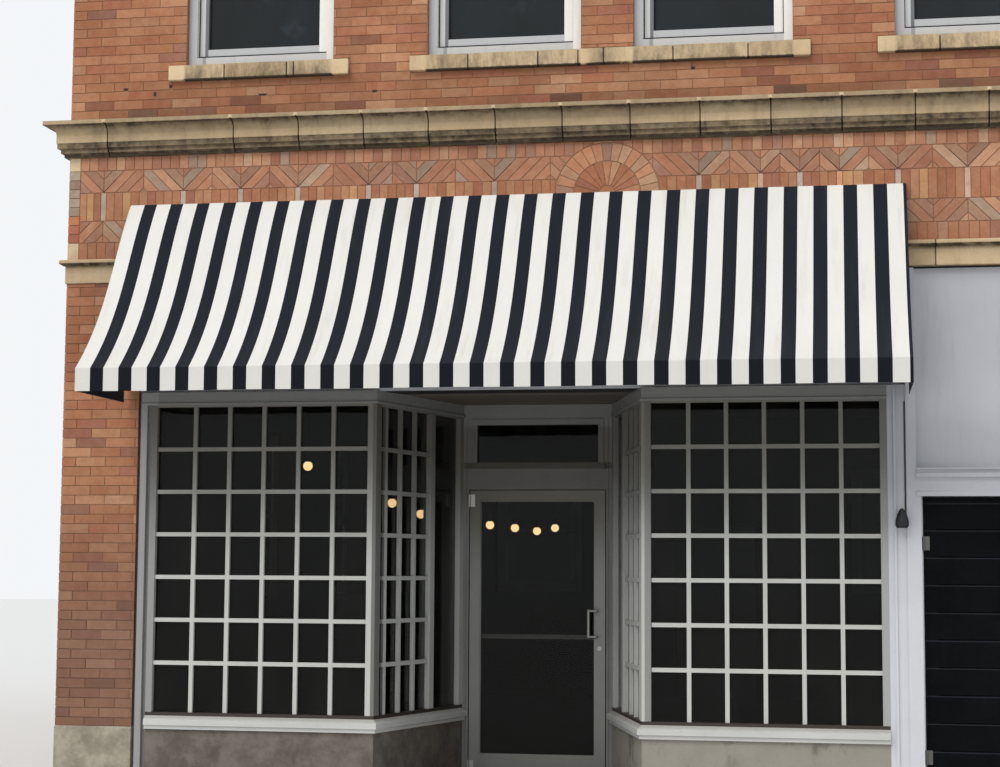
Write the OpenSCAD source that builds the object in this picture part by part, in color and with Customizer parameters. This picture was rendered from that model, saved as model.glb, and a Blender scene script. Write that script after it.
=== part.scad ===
// Corner shop building: brick walls, a recessed shopfront and a striped awning.
// Millimetres. +Z is up and the street front faces -Y. The origin is on the
// ground at the middle of the footprint.

/* [Building] */
// Width of the street front
width = 7700; // [7400:50:8200]
// Depth from the street front to the rear wall
depth = 11000; // [9000:100:14000]
// Thickness of the brick walls
wall = 330; // [300:10:400]
// Height of the parapet below its coping
parapet_top = 8300; // [8000:50:9000]
// Thickness of the stone coping
coping_h = 90; // [60:5:120]
// Overhang of the coping past the brickwork
coping_out = 50; // [30:5:80]
// Underside of the upper floor
upper_floor_z = 3400; // [3200:20:3500]
// Thickness of the upper floor with its ceiling
upper_floor_h = 300; // [200:10:320]
// Underside of the roof deck
roof_z = 7500; // [7400:20:7600]
// Thickness of the roof deck
roof_h = 220; // [150:10:300]

/* [Front] */
// Width of the brick piers at the corners
pier_w = 558; // [480:5:600]
// Height of the rendered bases of the piers
pier_base_h = 478; // [400:5:520]
// How far the pier bases stand proud of the brick
pier_base_out = 12; // [5:1:25]
// Underside of the lower stone belt
belt_z = 3565; // [3560:5:3600]
// Height of the lower stone belt
belt_h = 166; // [140:2:190]
// Projection of the belt moulding
belt_out = 45; // [30:5:60]
// Underside of the cornice
cornice_z = 4466; // [4440:2:4500]
// Height of the cornice
cornice_h = 243; // [220:1:260]
// Projection of the cornice
cornice_out = 150; // [120:5:180]

/* [Upper Windows] */
// Width of a window opening
window_w = 1070; // [1000:10:1100]
// Height of a window opening above its sill
window_h = 1960; // [1700:10:2100]
// Top of the window sills
window_z = 5113; // [5100:1:5150]
// Centre of an inner window from the middle of the front
inner_window_x = 716; // [700:2:740]
// Centre of an outer window from the middle of the front
outer_window_x = 2461; // [2400:1:2480]
// Height of a stone sill
sill_h = 118; // [100:2:130]
// Projection of a stone sill
sill_out = 40; // [30:5:60]
// How far a sill runs past its opening
sill_lug = 118; // [60:1:120]
// Height of a stone lintel
lintel_h = 200; // [150:10:240]
// Set-back of the window frames from the wall face
window_back = 45; // [40:5:90]
// Width of the frame and sash at the sides of the glass
window_side = 127; // [110:1:140]
// Height of the frame and sash below the glass
window_foot = 128; // [110:2:140]

/* [Shopfront] */
// Middle of the shop entry from the middle of the front
entry_x = -675; // [-720:5:-640]
// Width of the entry recess at the street
mouth_w = 1810; // [1700:10:1900]
// Width of the entry recess at the door
throat_w = 1108; // [1100:2:1140]
// Depth of the entry recess
recess_d = 1290; // [1200:10:1350]
// Top of the shop floor slab
floor_top = 40; // [30:5:60]
// Thickness of the entry floor
entry_tile = 12; // [8:1:15]
// Underside of the display sills
display_z = 468; // [450:2:480]
// Height of the display sills
display_sill_h = 90; // [80:1:100]
// Underside of the shopfront header
header_z = 2695; // [2650:5:2700]
// Height of the shopfront header
header_h = 90; // [70:5:100]
// Outer edge of the left display window from the middle of the front
display_left = 3196; // [3150:2:3220]
// Outer edge of the right display window from the middle of the front
display_right = 1834; // [1820:2:1880]
// Columns of panes in a display window
front_cols = 6; // [3:1:8]
// Rows of panes in the display windows
pane_rows = 7; // [5:1:8]
// Height of a pane, bar to bar; the bottom row takes the rest
pane_h = 294; // [240:2:300]
// Columns of panes in the side of the entry, before its clear pane
return_cols = 4; // [3:1:5]
// Width of a pane in the side of the entry, bar to bar
return_pane_w = 213; // [180:1:220]
// Width of a glazing bar
muntin_w = 28; // [24:1:42]

/* [Doors] */
// Width of the glazed entry door
entry_door_w = 1008; // [1000:1:1016]
// Height of the glazed entry door
entry_door_h = 2085; // [2030:5:2090]
// Thickness of both doors
door_t = 45; // [40:1:50]
// Width of the door stiles
stile_w = 84; // [80:1:100]
// Height of the door's bottom rail
bottom_rail_h = 162; // [150:2:200]
// Gap round a moving door
door_gap = 6; // [5:0.5:8]
// Left edge of the side doorway from the middle of the front
side_left = 2047; // [2040:1:2060]
// Width of the plank side door
side_door_w = 914; // [880:2:920]
// Top of the plank side door
side_door_top = 2052; // [2030:2:2070]

/* [Awning] */
// Left edge of the awning from the middle of the front
awning_left = 3385; // [3300:5:3450]
// Right edge of the awning from the middle of the front
awning_right = 1980; // [1900:5:2000]
// Height of the awning's top edge on the wall
awning_top = 4115; // [4050:5:4200]
// Height of the fold above the valance
awning_fold = 2864; // [2850:2:2900]
// Height of the valance
valance_h = 152; // [120:2:160]
// Projection of the awning
awning_out = 925; // [850:5:1000]
// Sag of the awning's slope, as a share
awning_sag = 0.7; // [0:0.05:0.9]

/* [Hidden] */

eps = 1;
half = width / 2;
inner_x = half - wall;
pier_in = half - pier_w;
belt_top = belt_z + belt_h;
cornice_top = cornice_z + cornice_h;
upper_floor_top = upper_floor_z + upper_floor_h;
coping_top = parapet_top + coping_h;

// Windows of the side and rear walls
side_upper_y = [for (i = [0 : 3]) depth * (2 * i + 1.2) / 8.4];
side_lower_y = [for (i = [1 : 3]) side_upper_y[i]];
lower_window_z = 1300;
lower_window_h = 1500;
rear_upper_x = [-half * 0.56, 0, half * 0.56];
rear_lower_x = [-half * 0.56, half * 0.56];
rear_door_w = 960;
rear_door_h = 2100;
rear_panel_h = 780;
rear_panel_z = [220, 1120];

// Window joinery and stonework
window_half = window_w / 2;
window_d = 110;
window_face = 60;
window_lip = 58;
upper_sash_back = 22;
lower_sash_back = 50;
pane_back = 84;
pane_t = 6;
meeting_h = 50;
lintel_seat = 110;
lintel_out = 10;
stone_d = 150;
sill_fall = 12;
outer_sill = window_half + sill_lug;
pair_sill = inner_window_x + outer_sill;

// Shopfront joinery
panel_d = 60;
outer_stile = 46;
outer_pane_extra = 26;
corner_stile = 62;
return_stile = 66;
door_side_stile = 58;
panel_foot = 22;
panel_head = 14;
muntin_front = 12;
muntin_d = 26;
splay = atan((mouth_w - throat_w) / 2 / recess_d);
return_len = recess_d / cos(splay);
first_pane_share = 0.8;
return_x0 = panel_d / cos(splay) + 10;
pane_stile_x = (return_cols - 1 + first_pane_share) * return_pane_w;
clear_x0 = pane_stile_x + return_stile;
clear_x1 = return_len - door_side_stile;
display_sill_top = display_z + display_sill_h;
glazing_h = header_z - display_sill_top;
header_top = header_z + header_h;
sill_nose = 34;
sill_neck = 20;
header_bead = 10;
header_bead_h = 18;
bulkhead_d = 90;
platform_h = 34;
riser_d = 40;
soffit_h = 30;
beam_y = 70;
fascia_y = 40;
fascia_gap = 13;
casing_out = 10;
casing_w = 63;
post_d = 180;
jamb_gap = 24;
jamb_groove = 28;
jamb_groove_d = 38;
post_bead_in = 40;
post_bead_w = 14;

// Doors
frame_d = 100;
door_y = recess_d + 10;
leaf_z = floor_top + 26;
leaf_top = leaf_z + entry_door_h;
rebate = 8;
threshold_h = 20;
threshold_nose = 8;
entry_opening = entry_door_w + 2 * door_gap + 2;
entry_left = entry_x - entry_opening / 2;
leaf_left = entry_left + door_gap;
leaf_right = leaf_left + entry_door_w;
stop_w = 12;
transom_z = 2357;
transom_top = 2637;
transom_half = 453;
transom_trim = 40;
pull_z = [1084, 1272];
pull_out = 55;
pull_in = 31;
pull_r = 11;
pull_arm_r = 9;
push_bar_z = 1060;
push_bar_h = 32;
push_bar_out = 50;
lock_z = 999;
side_lining = 9;
side_surround = 29;
side_leaf_left = side_left + side_lining + door_gap;
side_leaf_right = side_leaf_left + side_door_w;
side_right = side_leaf_right + door_gap + side_lining + 4;
surround_left = side_left - side_surround;
surround_right = side_right + side_surround;
side_door_y = 50;
side_door_z = floor_top + 10;
side_head_z = side_door_top + door_gap;
side_head_top = 2240;
top_plank_h = 211;
plank_h = 177;
plank_groove = 10;
plank_stile = 80;
side_hinge_z = [339, 1709];
knob_z = 980;
knob_in = 70;
knob_out = 52;
pivot_in = 3;
pivot_out = 22;
pivot_r = 8;
hinge_h = 90;

// Awning
cloth_t = 10;
end_t = 6;
tube = 25;
flat_bar = 12;
rafters = 5;
rafter_d = 35;
awning_steps = 24;
hem_z = awning_fold - valance_h;
awning_step = (awning_top - awning_fold) / awning_steps;
wall_bar_top = awning_top - 2 * awning_step - 2;
wall_bar_d = 45;
end_clear = belt_out + 5;

// Small fixture on the pilaster
fixture_x = 1922;
fixture_z = 1851;
fixture_out = 62;
conduit_x = 1946;
conduit_r = 4;

// Moves a piece drawn with the street front at y = 0 into the part's frame
module street() translate([0, -depth / 2, 0]) children();

// Box between two corners
module block(low, high) translate(low) cube(high - low);

// Outline of a section in y and z, drawn along x from x0 to x1
module run_x(x0, x1) translate([x0, 0, 0]) rotate([90, 0, 90]) linear_extrude(x1 - x0) children();

// Outline of a section in x and z, drawn along y from y0 to y1
module run_y(y0, y1) translate([0, y1, 0]) rotate([90, 0, 0]) linear_extrude(y1 - y0) children();

// Moves a window to the left wall: x runs to the rear, y into the wall
module on_left_wall(y) translate([-half, y, 0]) rotate(-90) children();

// Moves a window to the rear wall
module on_rear_wall(x) translate([x, depth, 0]) rotate(180) children();

// Half of the entry, measured out from its middle line; side is -1 or 1
module entry_side(side) translate([entry_x, 0, 0]) mirror([side < 0 ? 1 : 0, 0, 0]) children();

// The children at each window of a wall; $z is the sill top and $h the height there
module at_front_windows()
    for (x = [-outer_window_x, -inner_window_x, inner_window_x, outer_window_x])
        translate([x, 0, 0]) let ($z = window_z, $h = window_h) children();

module at_side_windows() {
    for (y = side_upper_y) on_left_wall(y) let ($z = window_z, $h = window_h) children();
    for (y = side_lower_y) on_left_wall(y) let ($z = lower_window_z, $h = lower_window_h) children();
}

module at_rear_windows() {
    for (x = rear_upper_x) on_rear_wall(x) let ($z = window_z, $h = window_h) children();
    for (x = rear_lower_x) on_rear_wall(x) let ($z = lower_window_z, $h = lower_window_h) children();
}

// One sash window, its middle at x = 0 and the wall face at y = 0
module window_frame(z, h) {
    glass_half = window_half - window_side;
    channel_half = window_half - window_face;
    mid = z + h / 2;
    difference() {
        block([-window_half, window_back, z], [window_half, window_back + window_d, z + h]);
        block([-glass_half, 0, z + window_foot], [glass_half, wall, mid - meeting_h / 2]);
        block([-glass_half, 0, mid + meeting_h / 2], [glass_half, wall, z + h - window_side]);
        // The outer channel steps back to the upper sash
        block([-channel_half, 0, z + window_lip],
              [channel_half, window_back + upper_sash_back, z + h - window_face]);
        // The lower sash stands behind the upper one
        block([-channel_half, 0, z + window_lip],
              [channel_half, window_back + lower_sash_back, mid - meeting_h / 2]);
    }
}

// Both panes of one window
module window_pane(z, h) {
    glass_half = window_half - window_side;
    mid = z + h / 2;
    y0 = window_back + pane_back;
    block([-glass_half, y0, z + window_foot], [glass_half, y0 + pane_t, mid - meeting_h / 2]);
    block([-glass_half, y0, mid + meeting_h / 2], [glass_half, y0 + pane_t, z + h - window_side]);
}

// Space for a window with its sill and lintel in a wall
module window_hole(z, h) {
    block([-window_half, -eps, z], [window_half, wall + eps, z + h]);
    block([-outer_sill, -eps, z - sill_h], [outer_sill, stone_d, z]);
    block([-window_half - lintel_seat, -eps, z + h],
          [window_half + lintel_seat, stone_d, z + h + lintel_h]);
}

// A stone sill from x0 to x1 with a weathered top and a square drip edge
module stone_sill(x0, x1, z) run_x(x0, x1)
    polygon([[-sill_out, z - sill_h], [stone_d, z - sill_h], [stone_d, z], [window_back, z],
             [-sill_out, z - sill_fall]]);

// A plain stone lintel over an opening of a given half width
module stone_lintel(z, opening_half = window_half)
    block([-opening_half - lintel_seat, -lintel_out, z],
          [opening_half + lintel_seat, stone_d, z + lintel_h]);

// Floors and roof
module ground_floor() color("dimgray") street() {
    block([-pier_in, 0, 0], [pier_in, wall, floor_top]);
    block([-inner_x, wall, 0], [inner_x, depth - wall, floor_top]);
}

module entry_floor() color("slategray") street() translate([0, 0, floor_top]) linear_extrude(entry_tile)
    polygon([[entry_x - mouth_w / 2, 0], [entry_x + mouth_w / 2, 0],
             [entry_x + throat_w / 2, recess_d], [entry_x - throat_w / 2, recess_d]]);

module upper_floor() color("burlywood") street()
    block([-inner_x, wall, upper_floor_z], [inner_x, depth - wall, upper_floor_top]);

module roof_deck() color("gray") street()
    block([-inner_x, wall, roof_z], [inner_x, depth - wall, roof_z + roof_h]);

// Masonry
module left_wall() color("peru") street() difference() {
    block([-half, wall, 0], [-inner_x, depth - wall, parapet_top]);
    at_side_windows() window_hole($z, $h);
}

module party_wall() color("peru") street()
    block([inner_x, wall, 0], [half, depth - wall, parapet_top]);

module rear_wall() color("peru") street() difference() {
    block([-half, depth - wall, 0], [half, depth, parapet_top]);
    at_rear_windows() window_hole($z, $h);
    on_rear_wall(0) {
        block([-rear_door_w / 2, -eps, -eps], [rear_door_w / 2, wall + eps, rear_door_h]);
        block([-rear_door_w / 2 - lintel_seat, -eps, rear_door_h],
              [rear_door_w / 2 + lintel_seat, stone_d, rear_door_h + lintel_h]);
    }
}

module front_upper_wall() color("peru") street() difference() {
    block([-half, 0, cornice_top], [half, wall, parapet_top]);
    at_front_windows() window_hole($z, $h);
    block([-pair_sill, -eps, window_z - sill_h], [pair_sill, stone_d, window_z]);
}

// The brick band between the belt and the cornice
module frieze() color("chocolate") street()
    block([-half, 0, belt_top], [half, wall, cornice_z]);

// Section of the cornice, from the wall line out: steps, fascia, cove and fillet
function cornice_section(out, h) = concat(
    [[0, 0], [out * 0.2, 0], [out * 0.2, h * 0.11], [out * 0.33, h * 0.11], [out * 0.33, h * 0.24],
     [out * 0.5, h * 0.27], [out * 0.5, h * 0.62]],
    [for (a = [0 : 15 : 90]) [out * (0.5 + 0.42 * (1 - cos(a))), h * (0.62 + 0.26 * sin(a))]],
    [[out, h * 0.88], [out, h], [0, h]]);

// Section of the lower belt: a flat face under a thin projecting moulding
function belt_section(out, h) = [
    [0, 0], [out * 0.2, 0], [out * 0.2, h * 0.72], [out * 0.55, h * 0.76],
    [out, h * 0.84], [out, h * 0.96], [out * 0.8, h], [0, h]];

// A moulding along the front that turns the left corner and stops at the party line
module corner_moulding(z, h, out, section) {
    // Front stretch, mitred at the corner
    difference() {
        translate([0, 0, z]) run_x(-half - out, half) polygon([for (p = section) [-p[0], p[1]]]);
        translate([-half, 0, z - eps]) linear_extrude(h + 2 * eps)
            polygon([[0, 0], [-2 * out, -2 * out], [-2 * out, out], [0, out]]);
    }
    // Side stretch, as long as the pier is wide
    difference() {
        translate([0, 0, z]) run_y(-out, pier_w) polygon([for (p = section) [-half - p[0], p[1]]]);
        translate([-half, 0, z - eps]) linear_extrude(h + 2 * eps)
            polygon([[0, 0], [-2 * out, -2 * out], [out, -2 * out], [out, 0]]);
    }
}

module cornice() color("khaki") street() union() {
    corner_moulding(cornice_z, cornice_h, cornice_out, cornice_section(cornice_out, cornice_h));
    block([-half, 0, cornice_z], [half, wall, cornice_top]);
}

module lower_belt() color("khaki") street() union() {
    corner_moulding(belt_z, belt_h, belt_out, belt_section(belt_out, belt_h));
    block([-half, 0, belt_z], [half, wall, belt_top]);
}

module left_pier() color("peru") street() block([-half, 0, pier_base_h], [-pier_in, wall, belt_z]);

module right_pier() color("peru") street() block([pier_in, 0, pier_base_h], [half, wall, belt_z]);

// Rendered pier bases with a bevelled top edge
module pier_bases() color("silver") street() {
    section = [[-pier_base_out, 0], [wall, 0], [wall, pier_base_h], [0, pier_base_h],
               [-pier_base_out, pier_base_h - pier_base_out]];
    run_x(-half, -pier_in) polygon(section);
    run_x(pier_in, half) polygon(section);
}

module coping() color("khaki") street() difference() {
    block([-half - coping_out, -coping_out, parapet_top], [half, depth + coping_out, coping_top]);
    block([-inner_x + coping_out, wall + coping_out, parapet_top - eps],
          [inner_x - coping_out, depth - wall - coping_out, coping_top + eps]);
}

// Stonework and windows of the front
module front_sills() color("khaki") street() {
    stone_sill(-outer_window_x - outer_sill, -outer_window_x + outer_sill, window_z);
    stone_sill(-pair_sill, pair_sill, window_z);
    stone_sill(outer_window_x - outer_sill, outer_window_x + outer_sill, window_z);
}

module front_lintels() color("khaki") street() at_front_windows() stone_lintel($z + $h);

module front_windows() color("gainsboro") street() at_front_windows() window_frame($z, $h);

module front_window_glass() color("darkslategray") street() at_front_windows() window_pane($z, $h);

// Stonework and windows of the side and rear
module side_stonework() color("khaki") street() at_side_windows() {
    stone_sill(-outer_sill, outer_sill, $z);
    stone_lintel($z + $h);
}

module side_windows() color("gainsboro") street() at_side_windows() window_frame($z, $h);

module side_window_glass() color("darkslategray") street() at_side_windows() window_pane($z, $h);

module rear_stonework() color("khaki") street() {
    at_rear_windows() {
        stone_sill(-outer_sill, outer_sill, $z);
        stone_lintel($z + $h);
    }
    on_rear_wall(0) stone_lintel(rear_door_h, rear_door_w / 2);
}

module rear_windows() color("gainsboro") street() at_rear_windows() window_frame($z, $h);

module rear_window_glass() color("darkslategray") street() at_rear_windows() window_pane($z, $h);

// Fixed rear door with its frame and four sunk panels
module rear_door() color("dimgray") street() on_rear_wall(0) difference() {
    half_w = rear_door_w / 2;
    leaf_half = half_w - 50;
    panel_w = leaf_half - 150;
    block([-half_w, window_back, 0], [half_w, window_back + window_d, rear_door_h]);
    block([-leaf_half, 0, 30], [leaf_half, window_back + upper_sash_back, rear_door_h - 50]);
    for (s = [-1, 1], z = rear_panel_z)
        translate([s * leaf_half / 2 - panel_w / 2, 0, z])
            cube([panel_w, window_back + lower_sash_back, rear_panel_h]);
}

// Steel beam behind the fascia
module shopfront_beam() color("brown") street()
    block([-pier_in, beam_y, header_top], [pier_in, wall, belt_z]);

// Plain panel over the shopfront and the side door
module fascia_panel() color("lightsteelblue") street() {
    block([-pier_in, fascia_y, header_top], [pier_in, beam_y, belt_z - fascia_gap]);
    block([surround_left, fascia_y, side_head_top], [surround_right, beam_y, header_top]);
}

// Outline in plan of the woodwork beside the side doorway, drawn to the left of it:
// a board with a bead and a proud casing, over a given width
function casing_plan(w) = [
    [-w, post_d], [-w, 4], [-w + post_bead_in, 4], [-w + post_bead_in, -12],
    [-w + post_bead_in + post_bead_w, -12], [-w + post_bead_in + post_bead_w, 4], [-casing_w, 4],
    [-casing_w, -casing_out], [0, -casing_out], [0, post_d]];

// Such a post with its casing running on up to the belt
module cased_post(w) {
    translate([0, 0, floor_top]) linear_extrude(header_top - floor_top) polygon(casing_plan(w));
    block([-casing_w, -casing_out, header_top], [0, fascia_y, belt_z - fascia_gap]);
}

module shop_pilaster() color("lightgray") street()
    translate([surround_left, 0, 0]) cased_post(surround_left - display_right);

module right_jamb() color("lightgray") street()
    translate([surround_right, 0, 0]) mirror([1, 0, 0]) cased_post(pier_in - surround_right);

// Board beside the left display window, with an open joint to the brick
module left_jamb() color("darkgray") street() {
    board_w = pier_in - display_left;
    translate([-pier_in, 0, floor_top]) linear_extrude(header_z - floor_top) polygon([
        [0, post_d], [0, fascia_y], [jamb_gap, fascia_y], [jamb_gap, -8],
        [board_w - jamb_groove, -8], [board_w - jamb_groove, jamb_groove_d - 8],
        [board_w, jamb_groove_d - 8], [board_w, post_d]]);
    block([-pier_in, fascia_y, header_z], [-pier_in + jamb_gap, post_d, header_top]);
}

// Far end of a display window, measured from the middle of the entry
function reach_of(side) = side < 0 ? display_left + entry_x : display_right - entry_x;

// A band in plan that follows the display window and turns into the entry.
// x runs out from the entry's middle; outer and inner are its distances behind
// the street line.
function band(reach, outer, inner) = [
    [reach, outer],
    [mouth_w / 2 + outer * (1 - sin(splay)) / cos(splay), outer],
    [mouth_w / 2 + (outer - recess_d * sin(splay)) / cos(splay), recess_d],
    [mouth_w / 2 + (inner - recess_d * sin(splay)) / cos(splay), recess_d],
    [mouth_w / 2 + inner * (1 - sin(splay)) / cos(splay), inner],
    [reach, inner]];

// A section in y and z swept along the display window and, mitred, into the entry.
// The section's corners run clockwise seen from the far end of the window.
module turned_moulding(side, z, reach, section) entry_side(side) {
    n = len(section);
    points = [for (k = [0 : 2]) for (p = section)
        let (line = band(reach, p[0], p[0])) [line[k][0], line[k][1], z + p[1]]];
    strips = [for (k = [0, 1]) for (i = [0 : n - 1])
        let (j = (i + 1) % n) [k * n + j, k * n + i, (k + 1) * n + i, (k + 1) * n + j]];
    start_cap = [[for (i = [0 : n - 1]) i]];
    end_cap = [[for (i = [n - 1 : -1 : 0]) 2 * n + i]];
    polyhedron(points, concat(start_cap, strips, end_cap));
}

module shopfront_header() color("dimgray") street()
    for (side = [-1, 1])
        turned_moulding(side, header_z, side < 0 ? pier_in - jamb_gap + entry_x : reach_of(side),
            [[panel_d, 0], [-header_bead, 0], [-header_bead, header_bead_h - 4],
             [0, header_bead_h], [0, header_h], [panel_d, header_h]]);

// Sills with a neck, a square nose and a weathered top
module display_sills() color("white") street()
    for (side = [-1, 1])
        turned_moulding(side, display_z, reach_of(side),
            [[panel_d, 0], [-sill_neck, 0], [-sill_neck, 22], [-sill_nose, 28],
             [-sill_nose, 62], [-sill_nose + 6, 68], [0, display_sill_h],
             [panel_d, display_sill_h]]);

module bulkheads() color("gray") street()
    for (side = [-1, 1]) entry_side(side)
        translate([0, 0, floor_top]) linear_extrude(display_z - floor_top)
            polygon(band(reach_of(side), 0, bulkhead_d));

// Boards inside the display windows, carried by the bulkheads and a rear riser
module display_floors() color("tan") street()
    for (side = [-1, 1]) entry_side(side) {
        line = band(reach_of(side), 0, panel_d);
        back = mouth_w / 2 + (bulkhead_d - (recess_d - riser_d) * sin(splay)) / cos(splay) + eps;
        translate([0, 0, display_z]) linear_extrude(platform_h)
            polygon([line[5], line[4], line[3], [reach_of(side), recess_d]]);
        block([back, recess_d - riser_d, floor_top], [reach_of(side), recess_d, display_z]);
    }

// Opening of a display frame above its foot rail, from x0 to x1
module glazing(x0, x1, y0, y1)
    block([x0, y0, panel_foot], [x1, y1, glazing_h - panel_head]);

// Glazing bars across x0 to x1: upright at the given places, level at the pane height
module glazing_bars(x0, x1, places) {
    for (x = places) glazing(x - muntin_w / 2, x + muntin_w / 2, muntin_front, muntin_front + muntin_d);
    for (j = [1 : pane_rows - 1])
        translate([0, 0, glazing_h - panel_head - j * pane_h - muntin_w / 2])
            block([x0, muntin_front, 0], [x1, muntin_front + muntin_d, muntin_w]);
}

// Places a frame drawn along x from the corner of the entry
module on_front(side) entry_side(side) translate([mouth_w / 2, 0, display_sill_top]) children();

module on_return(side) entry_side(side) intersection() {
    translate([mouth_w / 2, 0, display_sill_top]) rotate(90 + splay) mirror([0, 1, 0]) children();
    block([0, panel_d, 0], [mouth_w, recess_d, header_z]);
}

// Street frame of one display window, with its corner post
module display_frame(side) on_front(side) {
    w = reach_of(side) - mouth_w / 2;
    x1 = w - outer_stile;
    // The column beside the outer stile of the left window is a little wider
    pitch = (x1 - corner_stile - (side < 0 ? outer_pane_extra : 0)) / front_cols;
    difference() {
        linear_extrude(glazing_h) polygon([[0, 0], [w, 0], [w, panel_d], [-panel_d * tan(splay), panel_d]]);
        glazing(corner_stile, x1, -eps, panel_d + eps);
    }
    glazing_bars(corner_stile, x1, [for (i = [1 : front_cols - 1]) corner_stile + pitch * i]);
}

// Frame in the side of the entry: small panes, a stile and one clear pane by the door
module return_frame(side) on_return(side) {
    difference() {
        block([0, 0, 0], [return_len + panel_d, panel_d, glazing_h]);
        glazing(return_x0, pane_stile_x, -eps, panel_d + eps);
        glazing(clear_x0, clear_x1, -eps, panel_d + eps);
    }
    glazing_bars(return_x0, pane_stile_x, [for (i = [1 : return_cols - 1]) pane_stile_x - return_pane_w * i]);
}

module left_display_frame() color("silver") street() display_frame(-1);

module left_return_frame() color("silver") street() return_frame(-1);

module right_display_frame() color("silver") street() display_frame(1);

module right_return_frame() color("silver") street() return_frame(1);

module display_glass() color("darkslategray") street() {
    glass_y = muntin_front + muntin_d;
    for (side = [-1, 1]) {
        on_front(side)
            glazing(corner_stile, reach_of(side) - mouth_w / 2 - outer_stile, glass_y, glass_y + pane_t);
        on_return(side) {
            glazing(return_x0, pane_stile_x, glass_y, glass_y + pane_t);
            glazing(clear_x0, clear_x1, glass_y, glass_y + pane_t);
        }
    }
}

module recess_soffit() color("saddlebrown") street() translate([0, 0, header_top]) linear_extrude(soffit_h)
    difference() {
        polygon([[entry_x - mouth_w / 2 - panel_d, fascia_y], [entry_x + mouth_w / 2 + panel_d, fascia_y],
                 [entry_x + throat_w / 2 + panel_d, recess_d + frame_d],
                 [entry_x - throat_w / 2 - panel_d, recess_d + frame_d]]);
        translate([-half, 0]) square([width, wall]);
    }

module threshold() color("silver") street()
    run_x(entry_left, entry_left + entry_opening)
        polygon([[recess_d, floor_top], [recess_d + frame_d, floor_top],
                 [recess_d + frame_d, floor_top + threshold_nose],
                 [recess_d + frame_d - 30, floor_top + threshold_h],
                 [recess_d + 30, floor_top + threshold_h], [recess_d, floor_top + threshold_nose]]);

// Fixed frame of the entry door with its transom
module entry_door_frame() color("gray") street() difference() {
    frame_left = entry_x - throat_w / 2;
    frame_right = entry_x + throat_w / 2;
    opening_right = entry_left + entry_opening;
    door_head = leaf_top + door_gap;
    trim_half = transom_half + transom_trim;
    union() {
        block([frame_left, recess_d, floor_top], [frame_right, recess_d + frame_d, header_top]);
        // Sash and sill moulding round the transom
        block([entry_x - trim_half, recess_d - 10, transom_z - 20],
              [entry_x + trim_half, recess_d, transom_top + transom_trim]);
        block([entry_x - trim_half - 13, recess_d - 18, transom_z - 45],
              [entry_x + trim_half + 13, recess_d, transom_z - 20]);
    }
    // Doorway with a stop behind the leaf, over the threshold
    block([entry_left, recess_d - eps, -eps], [opening_right, door_y + door_t + 6, door_head]);
    block([entry_left, recess_d - eps, -eps],
          [opening_right, recess_d + frame_d + eps, floor_top + threshold_h]);
    block([entry_left + stop_w, recess_d - eps, -eps],
          [opening_right - stop_w, recess_d + frame_d + eps, door_head - stop_w]);
    // Shadow joint in each jamb
    for (x = [frame_left + 20, frame_right - 26])
        block([x, recess_d - eps, floor_top - eps], [x + 6, recess_d + 5, header_z]);
    // Transom light
    block([entry_x - transom_half, recess_d - 20, transom_z],
          [entry_x + transom_half, recess_d + frame_d + eps, transom_top]);
}

module transom_glass() color("darkslategray") street()
    block([entry_x - transom_half, recess_d + 30, transom_z],
          [entry_x + transom_half, recess_d + 30 + pane_t, transom_top]);

// Glazed entry door, hung on its left edge
module entry_door() color("darkgray") street() difference() {
    block([leaf_left, door_y, leaf_z], [leaf_right, door_y + door_t, leaf_top]);
    block([leaf_left + stile_w - rebate, door_y - eps, leaf_z + bottom_rail_h - rebate],
          [leaf_right - stile_w + rebate, door_y + 10, leaf_top - stile_w + rebate]);
    block([leaf_left + stile_w, door_y - eps, leaf_z + bottom_rail_h],
          [leaf_right - stile_w, door_y + door_t + eps, leaf_top - stile_w]);
}

module entry_door_glass() color("darkslategray") street()
    block([leaf_left + stile_w, door_y + 18, leaf_z + bottom_rail_h],
          [leaf_right - stile_w, door_y + 18 + pane_t, leaf_top - stile_w]);

// Hinge of a leaf whose left edge is at x and whose street face is at y
module hinge(x, y, z) {
    translate([x - pivot_in, y - pivot_out, z]) cylinder(h = hinge_h, r = pivot_r);
    block([x, y - pivot_out, z], [x + 6, y, z + hinge_h]);
    block([x, y - 3, z], [x + 36, y, z + hinge_h]);
}

// Offset pull handle: an upright grip on two arms
module entry_door_pull() color("silver") street() {
    grip_x = leaf_right - stile_w - pull_in;
    post_x = leaf_right - stile_w + 24;
    for (z = pull_z) {
        translate([post_x, door_y, z]) rotate([90, 0, 0]) cylinder(h = pull_out, r = pull_arm_r);
        translate([post_x, door_y - pull_out, z]) sphere(r = pull_arm_r + eps);
        translate([grip_x, door_y - pull_out, z]) rotate([0, 90, 0])
            cylinder(h = post_x - grip_x, r = pull_arm_r);
        translate([grip_x, door_y - pull_out, z]) sphere(r = pull_r + eps);
    }
    translate([grip_x, door_y - pull_out, pull_z[0]]) cylinder(h = pull_z[1] - pull_z[0], r = pull_r);
}

// Push bar, lock cylinder and hinges of the entry door
module entry_door_hardware() color("silver") street() {
    back = door_y + door_t;
    for (x = [leaf_left + stile_w / 2, leaf_right - stile_w / 2])
        translate([x, back, push_bar_z + push_bar_h / 2]) rotate([-90, 0, 0])
            cylinder(h = push_bar_out, r = 12);
    block([leaf_left + 30, back + push_bar_out, push_bar_z],
          [leaf_right - 30, back + push_bar_out + flat_bar, push_bar_z + push_bar_h]);
    translate([leaf_right - stile_w / 2, door_y, lock_z]) rotate([90, 0, 0]) cylinder(h = 8, r = 16);
    for (z = [leaf_z + 20, leaf_top - 30 - hinge_h]) hinge(leaf_left, door_y, z);
}

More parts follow.
